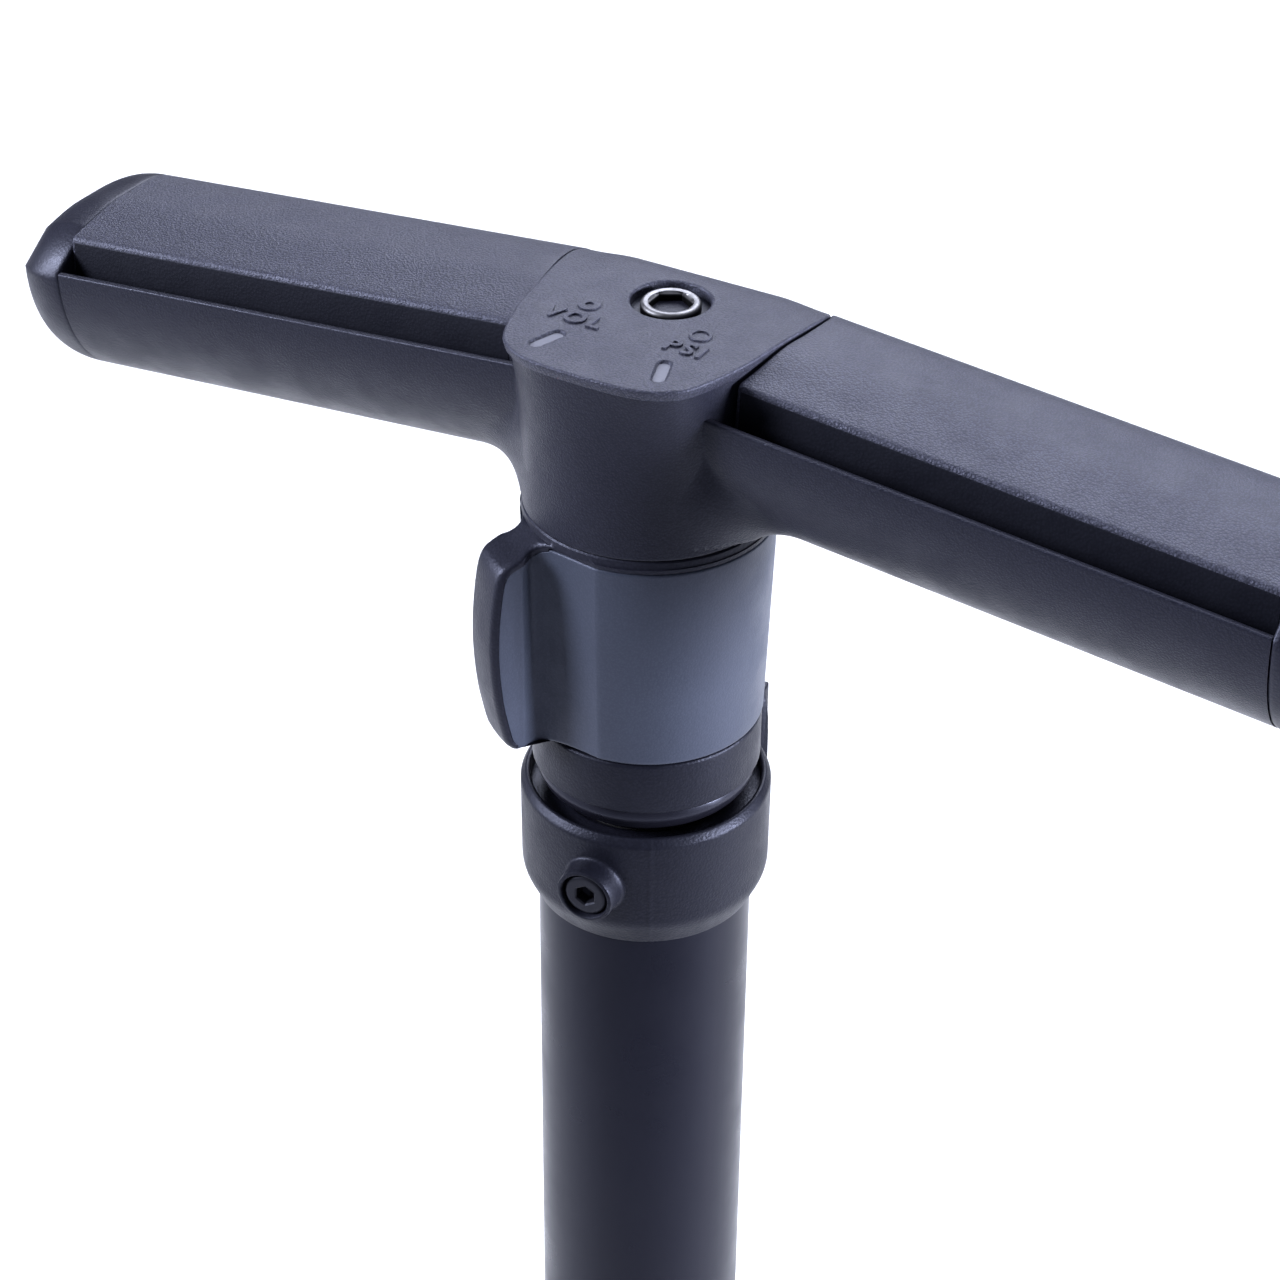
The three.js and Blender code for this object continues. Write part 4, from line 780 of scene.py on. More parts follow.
def make_selector_core():
    """Black core: the closed plan of sleeve and fin carried up the fin's side outline. It is drawn in
    under the cover, and carries the flange ring on top and the bore through it."""
    heights, reaches = fin_reach()
    inner_heights, inner_reaches = fin_reach(BORDER + 0.15)
    rows = []
    bore = ROD_R + 0.4
    for reach, z in zip(reaches, heights):
        plan = full_plan(reach, z)
        r = np.hypot(plan[:, 0], plan[:, 1])
        limit = np.interp(z, inner_heights, inner_reaches) if z < SELECTOR_TOP - 0.05 else 0.0
        front = step(0.5, 1.0, plan[:, 1]) * step(limit + 0.1, limit - 0.2, plan[:, 0])
        front = front * step(16.5, 19.0, plan[:, 0])
        sleeve = step(sleeve_radius(z) + 0.6, sleeve_radius(z) + 0.02, r) * step(17.5, 16.5, plan[:, 0])
        sleeve = sleeve * (z < COVER_TOP + COVER_SKIN)
        drawn = plan * (1 - UNDER_COVER * sleeve / r)[:, None]
        drawn[:, 1] -= UNDER_COVER * front
        rows.append(to_plan(drawn, z))
    like = full_plan(reaches[-1], heights[-1])
    like /= np.hypot(like[:, 0], like[:, 1])[:, None]

    def circle(radius, z):
        return to_plan(like * radius, z)

    shrunk = to_plan(full_plan(reaches[0], heights[0]) * 0.97, SELECTOR_Z)
    flange, top = NECK_R + 0.05, HUB_Z - 0.16
    rows = [circle(bore, SELECTOR_Z + 0.05), circle(15.0, SELECTOR_Z + 0.05), shrunk] + rows
    rows += [circle(flange + 0.1, SELECTOR_TOP + 0.42), circle(flange, top - 0.25),
             circle(flange - 0.25, top), circle(bore, top)]
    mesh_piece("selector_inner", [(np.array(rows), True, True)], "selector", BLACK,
               ["selector_core"], sharp=35, lift=COLLAR_Z)


def make_selector_cover():
    """Slate cover: a skin from the seam near the fin's tip, through the hollow and round the sleeve to
    the fin's back. Each row goes out along the outside and home along the inside, and the first and
    last rows are drawn in, so every edge is rounded."""
    wall = 1.0
    seam_heights, seam_reaches = fin_reach(BORDER)
    low, high = SELECTOR_Z, COVER_TOP
    heights = np.concatenate([
        low + np.array([0.0, 0.06, 0.2, 0.45]), np.linspace(low + 0.8, high - 0.9, 70),
        high - np.array([0.6, 0.45, 0.2, 0.06, 0.0])])
    drawn = np.concatenate([[0.4, 0.2, 0.06, 0.0], np.zeros(70), [0.0, 0.0, 0.06, 0.2, 0.4]])
    rows = []
    for z, into in zip(heights, drawn):
        seam = np.interp(z, seam_heights, seam_reaches)
        side = fin_side(z, FRONT_TANGENT, COVER_SKIN - into)
        u = np.linspace(seam, side[-1, 0], 60)
        front = np.stack([u, np.interp(u, side[::-1, 0], side[::-1, 1])], axis=1)
        a = np.linspace(FRONT_TANGENT, 2 * math.pi - BACK_TANGENT + 0.02, 150)[1:]
        r = sleeve_radius(z) + COVER_SKIN - into
        arc = np.stack([r * np.cos(a), r * np.sin(a)], axis=1)
        outside = np.concatenate([resample(front, 60), resample(arc, 200)])
        inward = outside / np.hypot(outside[:, 0], outside[:, 1])[:, None]
        facing = step(16.5, 19.0, outside[:, :1]) * (outside[:, 1:] > 0)
        toward = inward * (1 - facing) + np.array([0.0, 1.0]) * facing
        inside = outside - toward * (wall - into)
        outside[0] -= inward[0] * 0.12
        rows.append(to_plan(np.concatenate([outside, inside[::-1]]), z))
    half = len(rows[0]) // 2
    ends = []
    for row in (rows[0], rows[-1]):
        middle = (row[:half] + row[half:][::-1]) / 2
        ends.append(np.concatenate([middle, middle[::-1]]))
    rows = [ends[0]] + rows + [ends[1]]
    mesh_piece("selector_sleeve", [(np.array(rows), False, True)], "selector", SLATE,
               ["selector_cover"], sharp=40, lift=COLLAR_Z)


# ---- Stop ring, bumper, rod -------------------------------------------------------------------

def make_stop_ring():
    """Ring under the selector, the rubber bumper under it, and the rod, all turned."""
    bore = ROD_R + 0.35
    ring = turned(rounded([
        (bore, RING_LOW, 0.2), (RING_R, RING_LOW, 0.6), (RING_R, RING_HIGH, 0.8), (bore, RING_HIGH, 0.2)], 5))
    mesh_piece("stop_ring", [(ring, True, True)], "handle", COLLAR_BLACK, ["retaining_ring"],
               lift=COLLAR_Z)
    top = RING_LOW - 0.25
    lip = turned(rounded([
        (bore, BUMPER_LOW, 0.2), (15.4, BUMPER_LOW, 0.5), (16.0, top - 4.6, 0.5), (17.9, top - 4.5, 1.4),
        (RING_R - 0.6, top - 1.9, 1.6), (RING_R - 1.1, top, 0.5), (bore, top, 0.2)], 6))
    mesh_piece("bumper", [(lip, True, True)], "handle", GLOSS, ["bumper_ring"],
               lift=COLLAR_Z)
    inside = ROD_R - 1.4
    rod = turned(rounded([(inside, ROD_FOOT, 0.2), (ROD_R, ROD_FOOT, 0.2), (ROD_R, ROD_TOP, 0.2),
                          (inside, ROD_TOP, 0.2)]))
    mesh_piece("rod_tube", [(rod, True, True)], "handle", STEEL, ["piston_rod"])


# ---- Clamp collar and barrel ------------------------------------------------------------------

BOSS_AZIMUTH = math.radians(5.8)
BOSS_Z = 13.1
BOSS_R = 5.2
BOSS_OUT = 3.9


def collar_profile():
    """Outline of the collar: a rounded foot, an upright wall, and a bowl in its top edge."""
    bore = BARREL_R + 0.15
    bowl = COLLAR_R - 1.75
    return rounded([
        (bore, 0.35, 0.2), (COLLAR_R - 2.3, 0.0, 0.35), (COLLAR_R - 2.15, 0.25, 0.25),
        (COLLAR_R - 0.1, 4.7, 1.5), (COLLAR_R, COLLAR_TOP - 1.5, 0.5), (COLLAR_R - 1.0, COLLAR_TOP, 0.45),
        (bowl, COLLAR_TOP - 0.25, 0.3), (bowl - 0.15, BARREL_TOP + 0.5, 0.5),
        (bore, BARREL_TOP + 0.3, 0.2)], 6)


def make_collar():
    """Collar as a turned ring with a hairline ridge at its parting line, and a screw boss whose foot
    follows the collar's wall in a small hollow."""
    wall = turned(collar_profile(), 384)
    x, y = wall[..., 0], wall[..., 1]
    azimuth = np.arctan2(x, -y)
    outside = step(COLLAR_R - 2.5, COLLAR_R - 1.5, np.hypot(x, y))
    ridge = 0.11 * np.exp(-((azimuth - math.radians(32)) * COLLAR_R / 0.22) ** 2) * outside
    wall[..., :2] *= (1 + ridge / COLLAR_R)[..., None]

    # The boss: rings round the screw's axis. Across and up are measured on the wall, out from it.
    a = BOSS_AZIMUTH
    angle = np.linspace(0, 2 * math.pi, 96, endpoint=False)
    foot = [(0.6, 0.0), (0.4, 0.04), (0.2, 0.18), (0.08, 0.4), (0.0, 0.8), (0.0, 2.0)]
    face = [(0.03, 0.5), (0.15, 0.15), (0.5, 0.0), (0.75, 0.04), (0.9, 0.25), (0.92, 3.6), (BOSS_R, 3.6)]
    outline = [(BOSS_R + wider, out) for wider, out in foot]
    outline += [(BOSS_R - narrower, BOSS_OUT - lower) for narrower, lower in face]
    rows = []
    for radius, out in outline:
        across = radius * np.cos(angle)
        up = radius * np.sin(angle)
        fall = COLLAR_R - np.sqrt(COLLAR_R ** 2 - across ** 2)
        reach = COLLAR_R + out - fall * (1 - min(1.0, out / BOSS_OUT))
        rows.append(np.stack([reach * math.sin(a) + across * math.cos(a),
                              -reach * math.cos(a) + across * math.sin(a), BOSS_Z + up], axis=-1))
    base = rows[0] * (0.93, 0.93, 1)
    rows = [pole(base), base] + rows
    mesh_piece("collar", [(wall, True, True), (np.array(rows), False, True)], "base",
               COLLAR_BLACK, ["clamp_collar"], sharp=45, lift=COLLAR_Z)

    out = Vector((math.sin(a), -math.cos(a), 0))
    side = Vector((math.cos(a), math.sin(a), 0))
    turn = Matrix((side, Vector((0, 0, 1)), out)).transposed().to_4x4()
    place = Matrix.Translation((0, 0, BOSS_Z)) @ turn
    head_top = COLLAR_R + BOSS_OUT - 0.45
    bolt = socket_bolt(4.0, COLLAR_R + BOSS_OUT - 3.2, head_top, 2.5, BARREL_R + 0.4, 3.2, 2.0)
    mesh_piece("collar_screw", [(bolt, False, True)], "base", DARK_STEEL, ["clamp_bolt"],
               sharp=30, lift=COLLAR_Z, place=place)


def make_hose_clip():
    """Clip behind the collar: a curved plate with rounded corners, and an open ring on its back. Both
    are sections carried round an arc and closed at its ends."""
    plate_in, plate_out = COLLAR_R + 0.3, COLLAR_R + 2.3
    half, low, top, corner_r = math.radians(34), 4.0, 33.6, 4.0
    section = rounded([(plate_in, 0, 0.3), (plate_out, 0, 0.6), (plate_out, 1, 0.6), (plate_in, 1, 0.3)])
    rows = []
    for angle in np.linspace(-half, half, 41):
        past = max(0.0, (abs(angle) - half) * plate_out / corner_r + 1)
        corner = corner_r * (1 - math.sqrt(max(0.0, 1 - past ** 2)))
        start = low + corner * 0.6
        z = start + section[:, 1] * (top - corner - start)
        rows.append(np.stack([section[:, 0] * math.sin(angle), section[:, 0] * math.cos(angle), z], axis=-1))
    rows = [pole(rows[0])] + rows + [pole(rows[-1])]
    clip_in, clip_out = 5.2, 7.2
    centre_y = plate_out + clip_in + 1.2
    mouth = math.radians(55)
    section = rounded([(clip_in, 7, 0.5), (clip_out, 7, 0.5), (clip_out, 24, 0.5), (clip_in, 24, 0.5)])
    middle = section.mean(axis=0)
    shares = [0.4, 0.75, 0.93] + [1.0] * 55 + [0.93, 0.75, 0.4]
    clip_rows = []
    for angle, share in zip(np.linspace(math.pi / 2 + mouth, math.pi * 2.5 - mouth, 61), shares):
        q = middle + (section - middle) * share
        clip_rows.append(np.stack([q[:, 0] * math.cos(angle), centre_y + q[:, 0] * math.sin(angle), q[:, 1]],
                                  axis=-1))
    clip_rows = [pole(clip_rows[0])] + clip_rows + [pole(clip_rows[-1])]
    mesh_piece("hose_holder", [(np.array(rows), False, True), (np.array(clip_rows), False, True)], "base",
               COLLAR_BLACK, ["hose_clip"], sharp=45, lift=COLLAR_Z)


def make_barrel():
    """The barrel, its cap and the rod's wiper, all turned."""
    inside, top = BARREL_R - 1.5, COLLAR_Z + BARREL_TOP
    tube = turned(rounded([(inside, BARREL_FOOT, 0.2), (BARREL_R, BARREL_FOOT, 0.3), (BARREL_R, top, 0.3),
                           (inside, top, 0.3)]), 160)
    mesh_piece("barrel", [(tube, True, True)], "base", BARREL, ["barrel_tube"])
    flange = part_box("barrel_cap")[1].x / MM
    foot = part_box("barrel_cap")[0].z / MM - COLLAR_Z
    pocket = ROD_R + 3.35
    cap = turned(rounded([
        (pocket, foot), (BARREL_R - 1.8, foot, 0.3), (BARREL_R - 1.8, BARREL_TOP + 0.3, 0.1),
        (flange, BARREL_TOP + 0.3, 0.2), (flange, CAP_TOP, 0.6), (pocket + 1.2, CAP_TOP, 0.2),
        (pocket + 0.9, CAP_TOP - 0.5, 0.2), (pocket, CAP_TOP - 0.6, 0.2)]))
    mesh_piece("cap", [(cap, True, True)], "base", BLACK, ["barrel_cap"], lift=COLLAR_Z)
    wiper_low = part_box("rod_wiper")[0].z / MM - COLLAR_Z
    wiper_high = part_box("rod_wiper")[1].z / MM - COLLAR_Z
    wiper = turned(rounded([
        (ROD_R + 1.0, wiper_low, 0.2), (pocket - 0.3, wiper_low, 0.2), (pocket - 0.3, wiper_high, 0.4),
        (ROD_R + 0.9, wiper_high - 0.1, 0.3), (ROD_R + 0.1, wiper_high - 0.5, 0.15)]))
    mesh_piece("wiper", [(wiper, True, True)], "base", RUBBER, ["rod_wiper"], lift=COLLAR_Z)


# ---- Base -------------------------------------------------------------------------------------

BASE_TOP = 18.0
TREAD_MIDDLE_X = (58 + BASE_X - 10) / 2
TREAD_MIDDLE_Y = -1.5
TREAD_HALF_X = (BASE_X - 10 - 58) / 2
TREAD_HALF_Y = 16.0
TREAD_CORNER = 6.0
OUTLET_Z = 15.5
GAUGE_PLACE = Matrix.Translation((0, -57, 28)) @ Matrix.Rotation(math.radians(35), 4, "X")
GAUGE_R = 31.5


def base_loop():
    """Plan outline of the base: a front lobe, two wings and a heel, through a few smooth points."""
    w = BASE_X
    half = [(0, -BASE_FRONT), (24, -BASE_FRONT + 5), (37, -66), (42, -45), (58, -31), (w - 26, -26),
            (w - 6, -20), (w, -2), (w - 8, 15), (w - 30, 20), (56, 25), (30, 38), (22, 56),
            (12, BASE_REAR - 2)]
    left = [(-x, y) for x, y in reversed(half[1:])]
    return smooth_through(half + [(0, BASE_REAR)] + left, 14, closed=True)


def tread_outline(x, y):
    """Signed distance inside the rounded rectangle of one tread, mirrored for both wings."""
    qx = np.abs(np.abs(x) - TREAD_MIDDLE_X) - (TREAD_HALF_X - TREAD_CORNER)
    qy = np.abs(y - TREAD_MIDDLE_Y) - (TREAD_HALF_Y - TREAD_CORNER)
    outside = np.hypot(np.maximum(qx, 0), np.maximum(qy, 0)) + np.minimum(np.maximum(qx, qy), 0)
    return TREAD_CORNER - outside


def make_base():
    """Base shell on rays from the barrel's axis. Its top is a level plate whose rim rounds over, plus a
    mound that decays outwards from the socket, a swelling under the gauge, a ridge to the hose outlet
    and two sunk seats for the treads."""
    angle = np.linspace(-math.pi, math.pi, 360, endpoint=False)
    outer = loop_radius(base_loop(), angle)
    inner = BARREL_R + 5.4
    shares = np.concatenate([
        np.linspace(0, 0.35, 26), np.linspace(0.36, 0.93, 60), np.linspace(0.935, 1, 16)])
    rows = []
    for share in shares:
        r = inner + (outer - inner) * share
        x, y = r * np.cos(angle), r * np.sin(angle)
        rim = np.clip(1 - (outer - r) / 5.0, 0, 1)
        plate = BASE_TOP - 5.0 * (1 - np.sqrt(np.maximum(1 - rim ** 2, 0)))
        mound = 26.0 * np.exp(-(r - inner) / 7.0)
        pod = 8.0 * np.exp(-(x / 24) ** 4 - ((y + 52) / 20) ** 2) * (1 - rim)
        heel = 10.0 * np.exp(-(x / 9.5) ** 4) * step(8, 30, y) * step(BASE_REAR, BASE_REAR - 7, y)
        seat = 1.3 * step(-0.2, 0.5, tread_outline(x, y))
        rows.append(np.stack([x, y, plate + mound + pod + heel - seat], axis=-1))
    rows += [circle_row(r, angle, z) for r, z in (
        (outer, BASE_TOP - 8), (outer - 0.4, BASE_LOW + 1.2), (outer - 1.6, BASE_LOW), (0.0, BASE_LOW))]
    bore, floor = BARREL_R + 0.25, BARREL_FOOT - 0.3
    socket = [circle_row(r, angle, z) for r, z in (
        (0.0, floor), (bore, floor), (bore, SOCKET_TOP - 0.7), (bore + 0.5, SOCKET_TOP),
        (inner - 1.6, SOCKET_TOP), (inner - 0.6, SOCKET_TOP - 0.4), (inner - 0.15, SOCKET_TOP - 1.5),
        (inner, SOCKET_TOP - 3))]
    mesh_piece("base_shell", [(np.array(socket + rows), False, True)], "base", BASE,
               ["base_frame"], sharp=50)

    pod_in, pod_out = GAUGE_R + 0.3, GAUGE_R + 2.3
    pod = turned(rounded([
        (0.0, -17), (22, -17, 6), (pod_out, -6, 8), (pod_out, 8, 0.8), (pod_in, 8, 0.3), (pod_in, -0.3),
        (0.0, -0.3)], 8, closed=False), 128)
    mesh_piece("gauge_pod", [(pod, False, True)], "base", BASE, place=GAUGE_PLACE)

    outlet = Matrix.Rotation(-math.pi / 2, 4, "X")
    boss = turned(rounded([(0, 30), (10.5, 30), (10.5, BASE_REAR - 8.6, 1.2), (5.6, BASE_REAR - 8.2, 0.4),
                           (5.6, 40), (0, 40)], closed=False), 64)
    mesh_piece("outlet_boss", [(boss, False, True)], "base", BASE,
               place=Matrix.Translation((0, 0, OUTLET_Z)) @ outlet)


def make_treads():
    """Rubber tread on each wing: rays from its middle to a superellipse, a rounded edge, and ribs that
    rise as a soft square wave across the foot."""
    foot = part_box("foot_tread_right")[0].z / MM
    half_x, half_y, power, pitch = TREAD_HALF_X - 0.5, TREAD_HALF_Y - 0.5, 5.0, 7.5
    a = np.linspace(0, 2 * math.pi, 256, endpoint=False)
    dx, dy = np.cos(a), np.sin(a)
    edge = (np.abs(dx / half_x) ** power + np.abs(dy / half_y) ** power) ** (-1 / power)
    flat = [(0.0, 0.0), (1.0, 0.0), (1.0, 0.9), (0.99, 1.15)]
    for name, side in (("tread_left", -1), ("tread_right", 1)):
        rows = []
        for share, rise in flat + [(share, None) for share in np.linspace(0.975, 0, 90)]:
            x, y = edge * share * dx, edge * share * dy
            if rise is None:
                wave = 0.5 + 0.5 * np.tanh(4.5 * np.cos(2 * math.pi * (x + 1.0) / pitch))
                ribs = step(half_y - 2.0, half_y - 4.0, np.abs(y))
                ribs = ribs * step(half_x - 1.5, half_x - 3.0, np.abs(x)) * step(1.0, 0.86, share)
                rise = 1.25 + 1.6 * wave * ribs
            rows.append(np.stack(np.broadcast_arrays(side * (TREAD_MIDDLE_X + x), TREAD_MIDDLE_Y + y,
                                                     foot + rise), axis=-1))
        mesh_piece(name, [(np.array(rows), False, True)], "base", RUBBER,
                   ["foot_" + name], sharp=60)


def make_soles():
    """Round rubber soles under the base, each with a ring groove in its foot."""
    for place in ("centre", "left", "right", "front", "rear"):
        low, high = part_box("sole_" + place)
        middle = (low + high) / 2 / MM
        top = high.z / MM
        r = (high.x - low.x) / 2 / MM
        grooved = rounded([
            (0, 0.0), (r * 0.42, 0.0, 0.2), (r * 0.46, 0.7, 0.2), (r * 0.54, 0.7, 0.2), (r * 0.58, 0.0, 0.2),
            (r - 1.0, 0.0, 0.7), (r, 1.2, 0.6), (r, top, 0.3), (0, top)], closed=False)
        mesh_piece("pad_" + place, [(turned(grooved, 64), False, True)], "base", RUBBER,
                   ["sole_" + place], place=Matrix.Translation((middle.x, middle.y, 0)))


def make_outlet():
    """Barbed brass nipple and its hexagon nut, turned about the outlet's axis."""
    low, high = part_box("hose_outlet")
    z = (low.z + high.z) / 2 / MM
    shoulder = BASE_REAR + 1
    tip = high.y / MM
    seat = low.y / MM
    profile = [(2.0, seat), (5.2, seat, 0.3), (5.2, shoulder, 0.4), (3.4, shoulder + 0.1, 0.2)]
    for i in range(3):
        y = shoulder + 8 + i * 4.5
        profile += [(3.4, y - 0.1, 0.1), (4.3, y + 0.2, 0.25), (3.45, y + 3.9, 0.2)]
    profile += [(3.4, tip, 0.5), (2.0, tip, 0.3)]
    place = Matrix.Translation((0, 0, z)) @ Matrix.Rotation(-math.pi / 2, 4, "X")
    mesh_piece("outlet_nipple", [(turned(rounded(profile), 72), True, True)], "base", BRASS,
               ["hose_outlet"], place=place)
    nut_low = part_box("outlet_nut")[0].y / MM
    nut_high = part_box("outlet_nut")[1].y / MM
    a = np.linspace(0, 2 * math.pi, 144, endpoint=False)
    hexagon = hex_radius(a, 13.8)
    face, slope, bore = np.minimum(hexagon, 6.9), np.minimum(hexagon, 7.55), 3.75
    rows = [circle_row(r, a, y) for r, y in (
        (bore, nut_low), (face, nut_low), (slope, nut_low + 0.5), (hexagon, nut_low + 1.1),
        (hexagon, nut_high - 1.1), (slope, nut_high - 0.5), (face, nut_high), (bore, nut_high))]
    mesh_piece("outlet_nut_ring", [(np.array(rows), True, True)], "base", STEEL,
               ["outlet_nut"], sharp=25, place=place)


# ---- Gauge ------------------------------------------------------------------------------------

DIAL_Z = 14.2
DIAL_FULL = 12
NUMBER_R = 18.0


def make_gauge():
    """Gauge, turned about its own axis: case, knurled bezel, domed window and dial."""
    inner = GAUGE_R - 2
    housing = turned(rounded([(3.3, 0), (GAUGE_R, 0, 1.0), (GAUGE_R, 20, 0.4), (inner, 20, 0.4),
                              (inner, 2.5, 0.8), (3.3, 2.5)]), 128)
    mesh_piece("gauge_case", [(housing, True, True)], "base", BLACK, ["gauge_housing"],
               place=GAUGE_PLACE)
    bezel_in, bezel_out, top = GAUGE_R + 0.3, GAUGE_R + 2.5, 24.2
    bezel = turned(rounded([
        (bezel_in, 10, 0.2), (bezel_out, 10, 0.8), (bezel_out, 21.5, 0.8), (bezel_out - 0.8, top - 0.7, 1.6),
        (inner - 0.3, top, 0.7), (inner - 1.4, 22.7, 0.3), (bezel_in, 22.65, 0.1)], 6), 192)
    x, y, z = bezel[..., 0], bezel[..., 1], bezel[..., 2]
    knurl = 0.22 * (0.5 + 0.5 * np.cos(np.arctan2(y, x) * 64)) * step(11.0, 12.5, z) * step(20.5, 19.0, z)
    r = np.hypot(x, y)
    knurl = knurl * step(bezel_out - 0.4, bezel_out - 0.05, r)
    bezel[..., :2] *= (1 - knurl / r)[..., None]
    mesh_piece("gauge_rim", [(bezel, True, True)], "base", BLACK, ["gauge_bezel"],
               place=GAUGE_PLACE)
    radii = np.linspace(0, GAUGE_R - 0.4, 18)
    dome = 1.3 * (1 - (radii / radii[-1]) ** 2)
    profile = np.concatenate([np.stack([radii, np.full(18, 20.4) + dome * 0.9], axis=1),
                              np.stack([radii[::-1], np.full(18, 22.2) + dome[::-1] * 0.9], axis=1)])
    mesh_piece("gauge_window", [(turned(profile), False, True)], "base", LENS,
               ["gauge_lens"], place=GAUGE_PLACE)
    edge = inner - 0.3
    dial = turned(rounded([(1.6, 13.0), (edge, 13.0, 0.1), (edge, DIAL_Z, 0.2), (1.6, DIAL_Z, 0.1)]), 128)
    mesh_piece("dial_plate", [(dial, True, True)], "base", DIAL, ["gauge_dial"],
               place=GAUGE_PLACE)
    make_dial_print()
    make_needle()


def dial_angle(value):
    """Direction of a reading on the dial: 270 degrees clockwise from the lower left."""
    return math.radians(225 - 270 * value / DIAL_FULL)


def make_dial_print():
    """Ticks as thin raised bars in a ring, and upright numbers inside them."""
    grids = []
    for i in range(5 * DIAL_FULL + 1):
        a = dial_angle(i / 5)
        inner, half = (21.8, 0.34) if i % 5 == 0 else (23.6, 0.16)
        along, across = np.array([math.cos(a), math.sin(a)]), np.array([-math.sin(a), math.cos(a)])
        corners = [along * r + across * w
                   for r, w in ((inner, -half), (26.0, -half), (26.0, half), (inner, half))]
        low = np.array([[*c, DIAL_Z - 0.05] for c in corners])
        high = np.array([[*c, DIAL_Z + 0.08] for c in corners])
        grids.append((np.array([pole(low), low, high, pole(high)]), False, True))
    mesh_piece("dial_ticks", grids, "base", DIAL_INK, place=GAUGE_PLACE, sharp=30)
    gauge = Matrix.Translation(GAUGE_PLACE.translation * MM) @ GAUGE_PLACE.to_3x3().to_4x4()
    for value in range(0, DIAL_FULL + 1, 2):
        a = dial_angle(value)
        name = f"dial_number_{value}"
        at = Vector((NUMBER_R * math.cos(a), NUMBER_R * math.sin(a), DIAL_Z + 0.03)) * MM
        mesh = text_piece(name, str(value), 4.6, 0.06, 0.03, gauge @ Matrix.Translation(at))
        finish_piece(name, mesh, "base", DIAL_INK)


def make_needle():
    """Needle: a tapered blade with a ridge along its middle, its spindle and its cap."""
    at = DIAL_Z + 1.6
    length, tail = 24.0, 9.0
    x = np.concatenate([np.linspace(-tail, 0, 8), np.linspace(0.5, length, 24)])
    half = np.where(x < 0, 2.1 + x / tail * 0.5, 2.1 - 1.75 * x / length)
    section = np.array([(-1, 0.0), (-1, 0.25), (0, 0.75), (1, 0.25), (1, 0.0)])
    across = half[:, None] * section[:, 0]
    rows = np.stack(np.broadcast_arrays(x[:, None], across, at + section[:, 1]), axis=-1)
    rows = np.concatenate([pole(rows[0])[None], rows, pole(rows[-1])[None]])
    turn = GAUGE_PLACE @ Matrix.Rotation(math.radians(225), 4, "Z")
    spindle = turned([(0, 11.2), (1.2, 11.2), (1.2, at + 0.4), (0, at + 0.4)], 32)
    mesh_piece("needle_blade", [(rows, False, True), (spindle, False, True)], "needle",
               NEEDLE, ["gauge_needle"], sharp=20, place=turn)
    cap = turned(rounded([(0, at + 1.1), (3.2, at + 1.1, 0.2), (3.2, at + 1.8, 0.6), (1.8, at + 2.5, 0.8),
                          (0, at + 2.55)], 5, closed=False), 48)
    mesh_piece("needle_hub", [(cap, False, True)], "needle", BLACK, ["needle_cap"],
               place=GAUGE_PLACE)


# ---- CAD nodes that stay ------------------------------------------------------------------------

KEPT = {
    "rod_bushing": BRASS, "inner_tube": ALLOY, "selector_pin": STEEL, "piston_body": ALLOY,
    "piston_seal": RUBBER, "plunger_tube": ALLOY, "plunger_head": BRASS, "plunger_seal": RUBBER,
    "rod_head": ALLOY, "valve_body": BRASS, "check_ball": STEEL, "check_spring": STEEL,
    "barrel_seal": RUBBER, "gauge_stem": BRASS, "bourdon_tube": BRASS,
}


def dress_kept_nodes():
    """Finishes for the parts inside, which keep their CAD shapes."""
    for name, material in KEPT.items():
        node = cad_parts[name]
        node.data.materials.clear()
        node.data.materials.append(material)


# ---- Studio -----------------------------------------------------------------------------------

CAMERA_FROM_COLLAR = (213.04, -376.87, 343.17)
CAMERA_AHEAD = Vector((-0.409767, 0.719920, -0.560185))
CAMERA_RIGHT = Vector((0.866286, 0.499480, 0.008229))
LENS_LENGTH = 85.86


def add_camera():
    """Camera at a fixed offset from the collar's foot, looking along CAMERA_AHEAD."""
    ahead = CAMERA_AHEAD.normalized()
    up = CAMERA_RIGHT.cross(ahead).normalized()
    right = ahead.cross(up)
    data = bpy.data.cameras.new("camera")
    data.lens = LENS_LENGTH
    data.sensor_width = 36.0
    data.clip_start = 0.01
    camera = bpy.data.objects.new("camera", data)
    place = Vector(CAMERA_FROM_COLLAR) + Vector((0, 0, COLLAR_Z))
    turn = Matrix((right, up, -ahead)).transposed()
    camera.matrix_world = Matrix.Translation(place * MM) @ turn.to_4x4()
    bpy.context.scene.collection.objects.link(camera)
    bpy.context.scene.camera = camera


def add_light(name, place, target, size, power, tall, spread):
    """Rectangular soft light of a size in metres, turned to its target, with its beam narrowed."""
    data = bpy.data.lights.new(name, "AREA")
    data.shape = "RECTANGLE"
    data.size, data.size_y = size, tall
    data.energy = power
    data.spread = math.radians(spread)
    data.color = (0.87, 0.90, 1.0)
    light = bpy.data.objects.new(name, data)
    light.location = place
    light.rotation_euler = (Vector(target) - Vector(place)).to_track_quat("-Z", "Y").to_euler()
    bpy.context.scene.collection.objects.link(light)


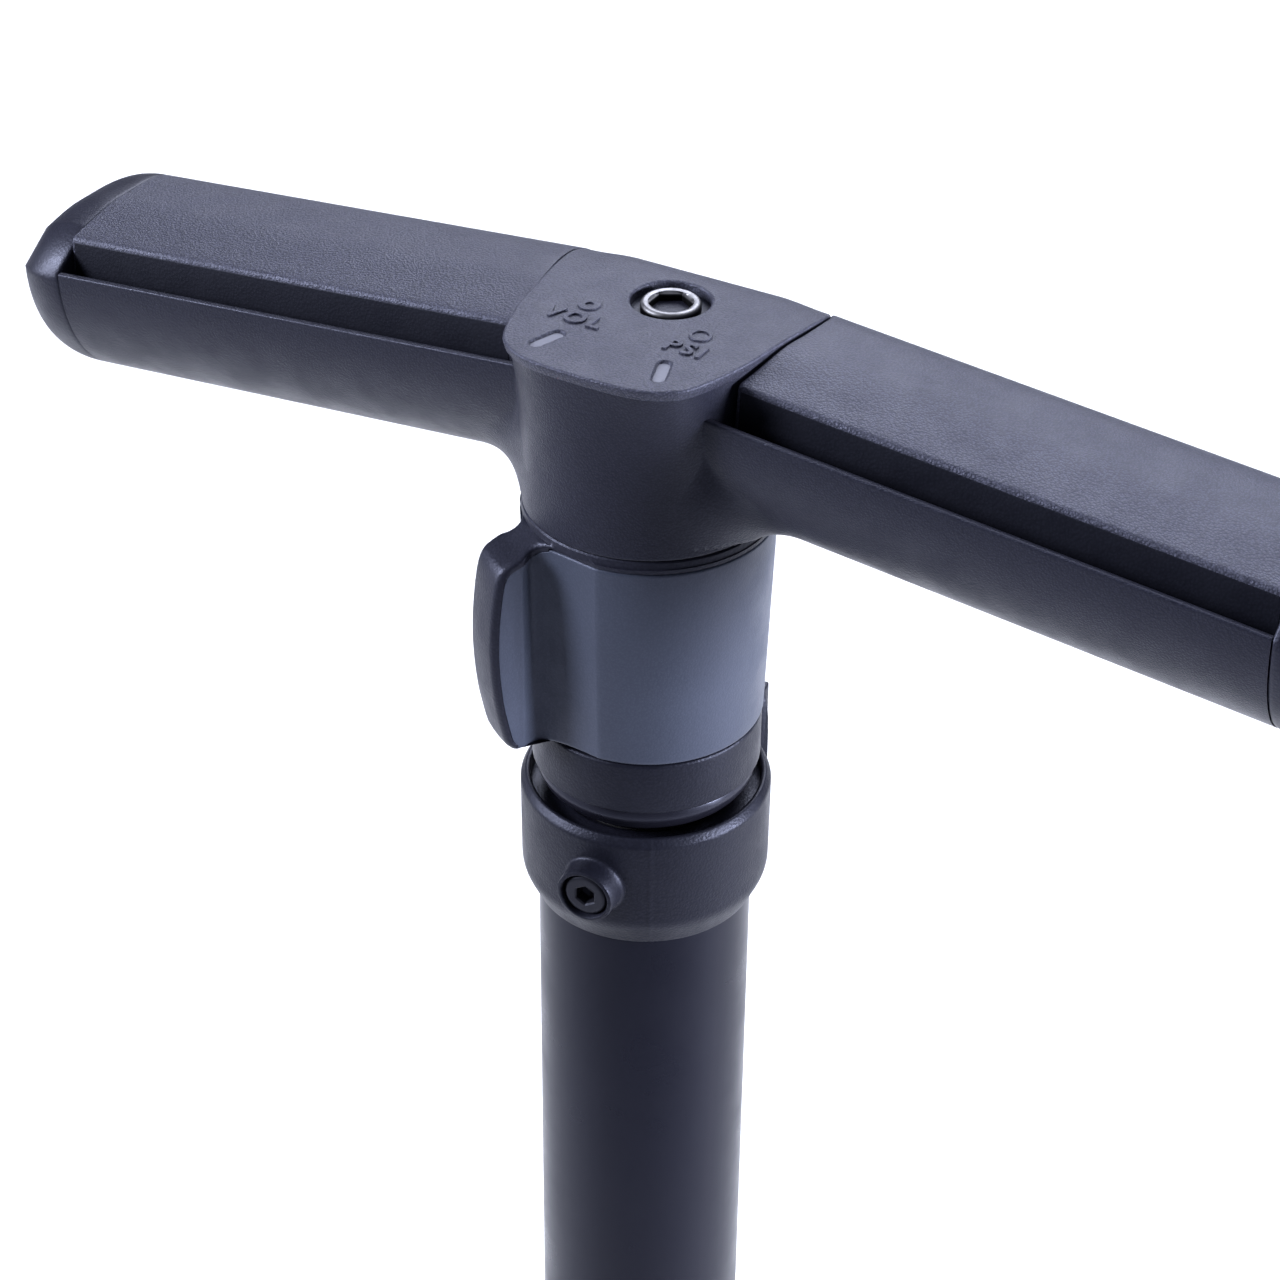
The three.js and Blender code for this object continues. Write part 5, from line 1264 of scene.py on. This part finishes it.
def add_studio():
    """Pale floor, a dim even surround, a tall soft key from the front left, an edge light from the
    right, a soft box overhead, and washes that light the floor at both sides and behind."""
    bpy.context.scene.view_settings.view_transform = "Standard"
    world = bpy.data.worlds.new("studio")
    bpy.context.scene.world = world
    world.use_nodes = True
    sky = world.node_tree.nodes["Background"]
    sky.inputs["Color"].default_value = (0.80, 0.84, 1.0, 1)
    sky.inputs["Strength"].default_value = 0.17
    half = 40.0
    corners = [(-half, -half, 0), (half, -half, 0), (half, half, 0), (-half, half, 0)]
    mesh = bpy.data.meshes.new("floor")
    mesh.from_pydata(corners, [], [(0, 1, 2, 3)])
    floor = bpy.data.objects.new("floor", mesh)
    pale = Nodes("pale_floor", Roughness=0.9, Specular_IOR_Level=0.1)
    pale.link(pale.ramp(pale.noise(3.0), (0.86, 0.86, 0.87), (0.88, 0.88, 0.89)), "Base Color")
    mesh.materials.append(pale.material)
    bpy.context.scene.collection.objects.link(floor)
    top = (0, 0, (COLLAR_Z + 80) * MM)
    collar = (0, 0, (COLLAR_Z + 10) * MM)
    for light in (
            ("key", (-1.2, -0.8, 1.2), top, 0.35, 8.6, 1.0, 60),
            ("edge", (1.5, 0.25, 0.75), collar, 0.35, 9, 0.4, 60),
            ("overhead", (-0.1, 0.75, 1.75), top, 1.6, 12.5, 1.6, 120),
            ("left_wash", (-1.25, 0.1, 0.9), (-1.25, 0.1, 0), 0.5, 1.0, 0.5, 60),
            ("right_wash", (1.15, 0.35, 0.9), (1.15, 0.35, 0), 0.5, 2.0, 0.5, 70),
            ("back_wash", (-0.9, 2.7, 2.2), (-0.55, 1.7, 0), 2.4, 60, 2.4, 90)):
        add_light(*light)


add_camera()
make_handle_body()
make_pads()
make_channels()
make_end_caps()
make_hub_cover()
make_marks()
make_handle_bolt()
make_labels()
make_selector_core()
make_selector_cover()
make_stop_ring()
make_collar()
make_hose_clip()
make_barrel()
make_base()
make_treads()
make_soles()
make_outlet()
make_gauge()
dress_kept_nodes()
add_studio()
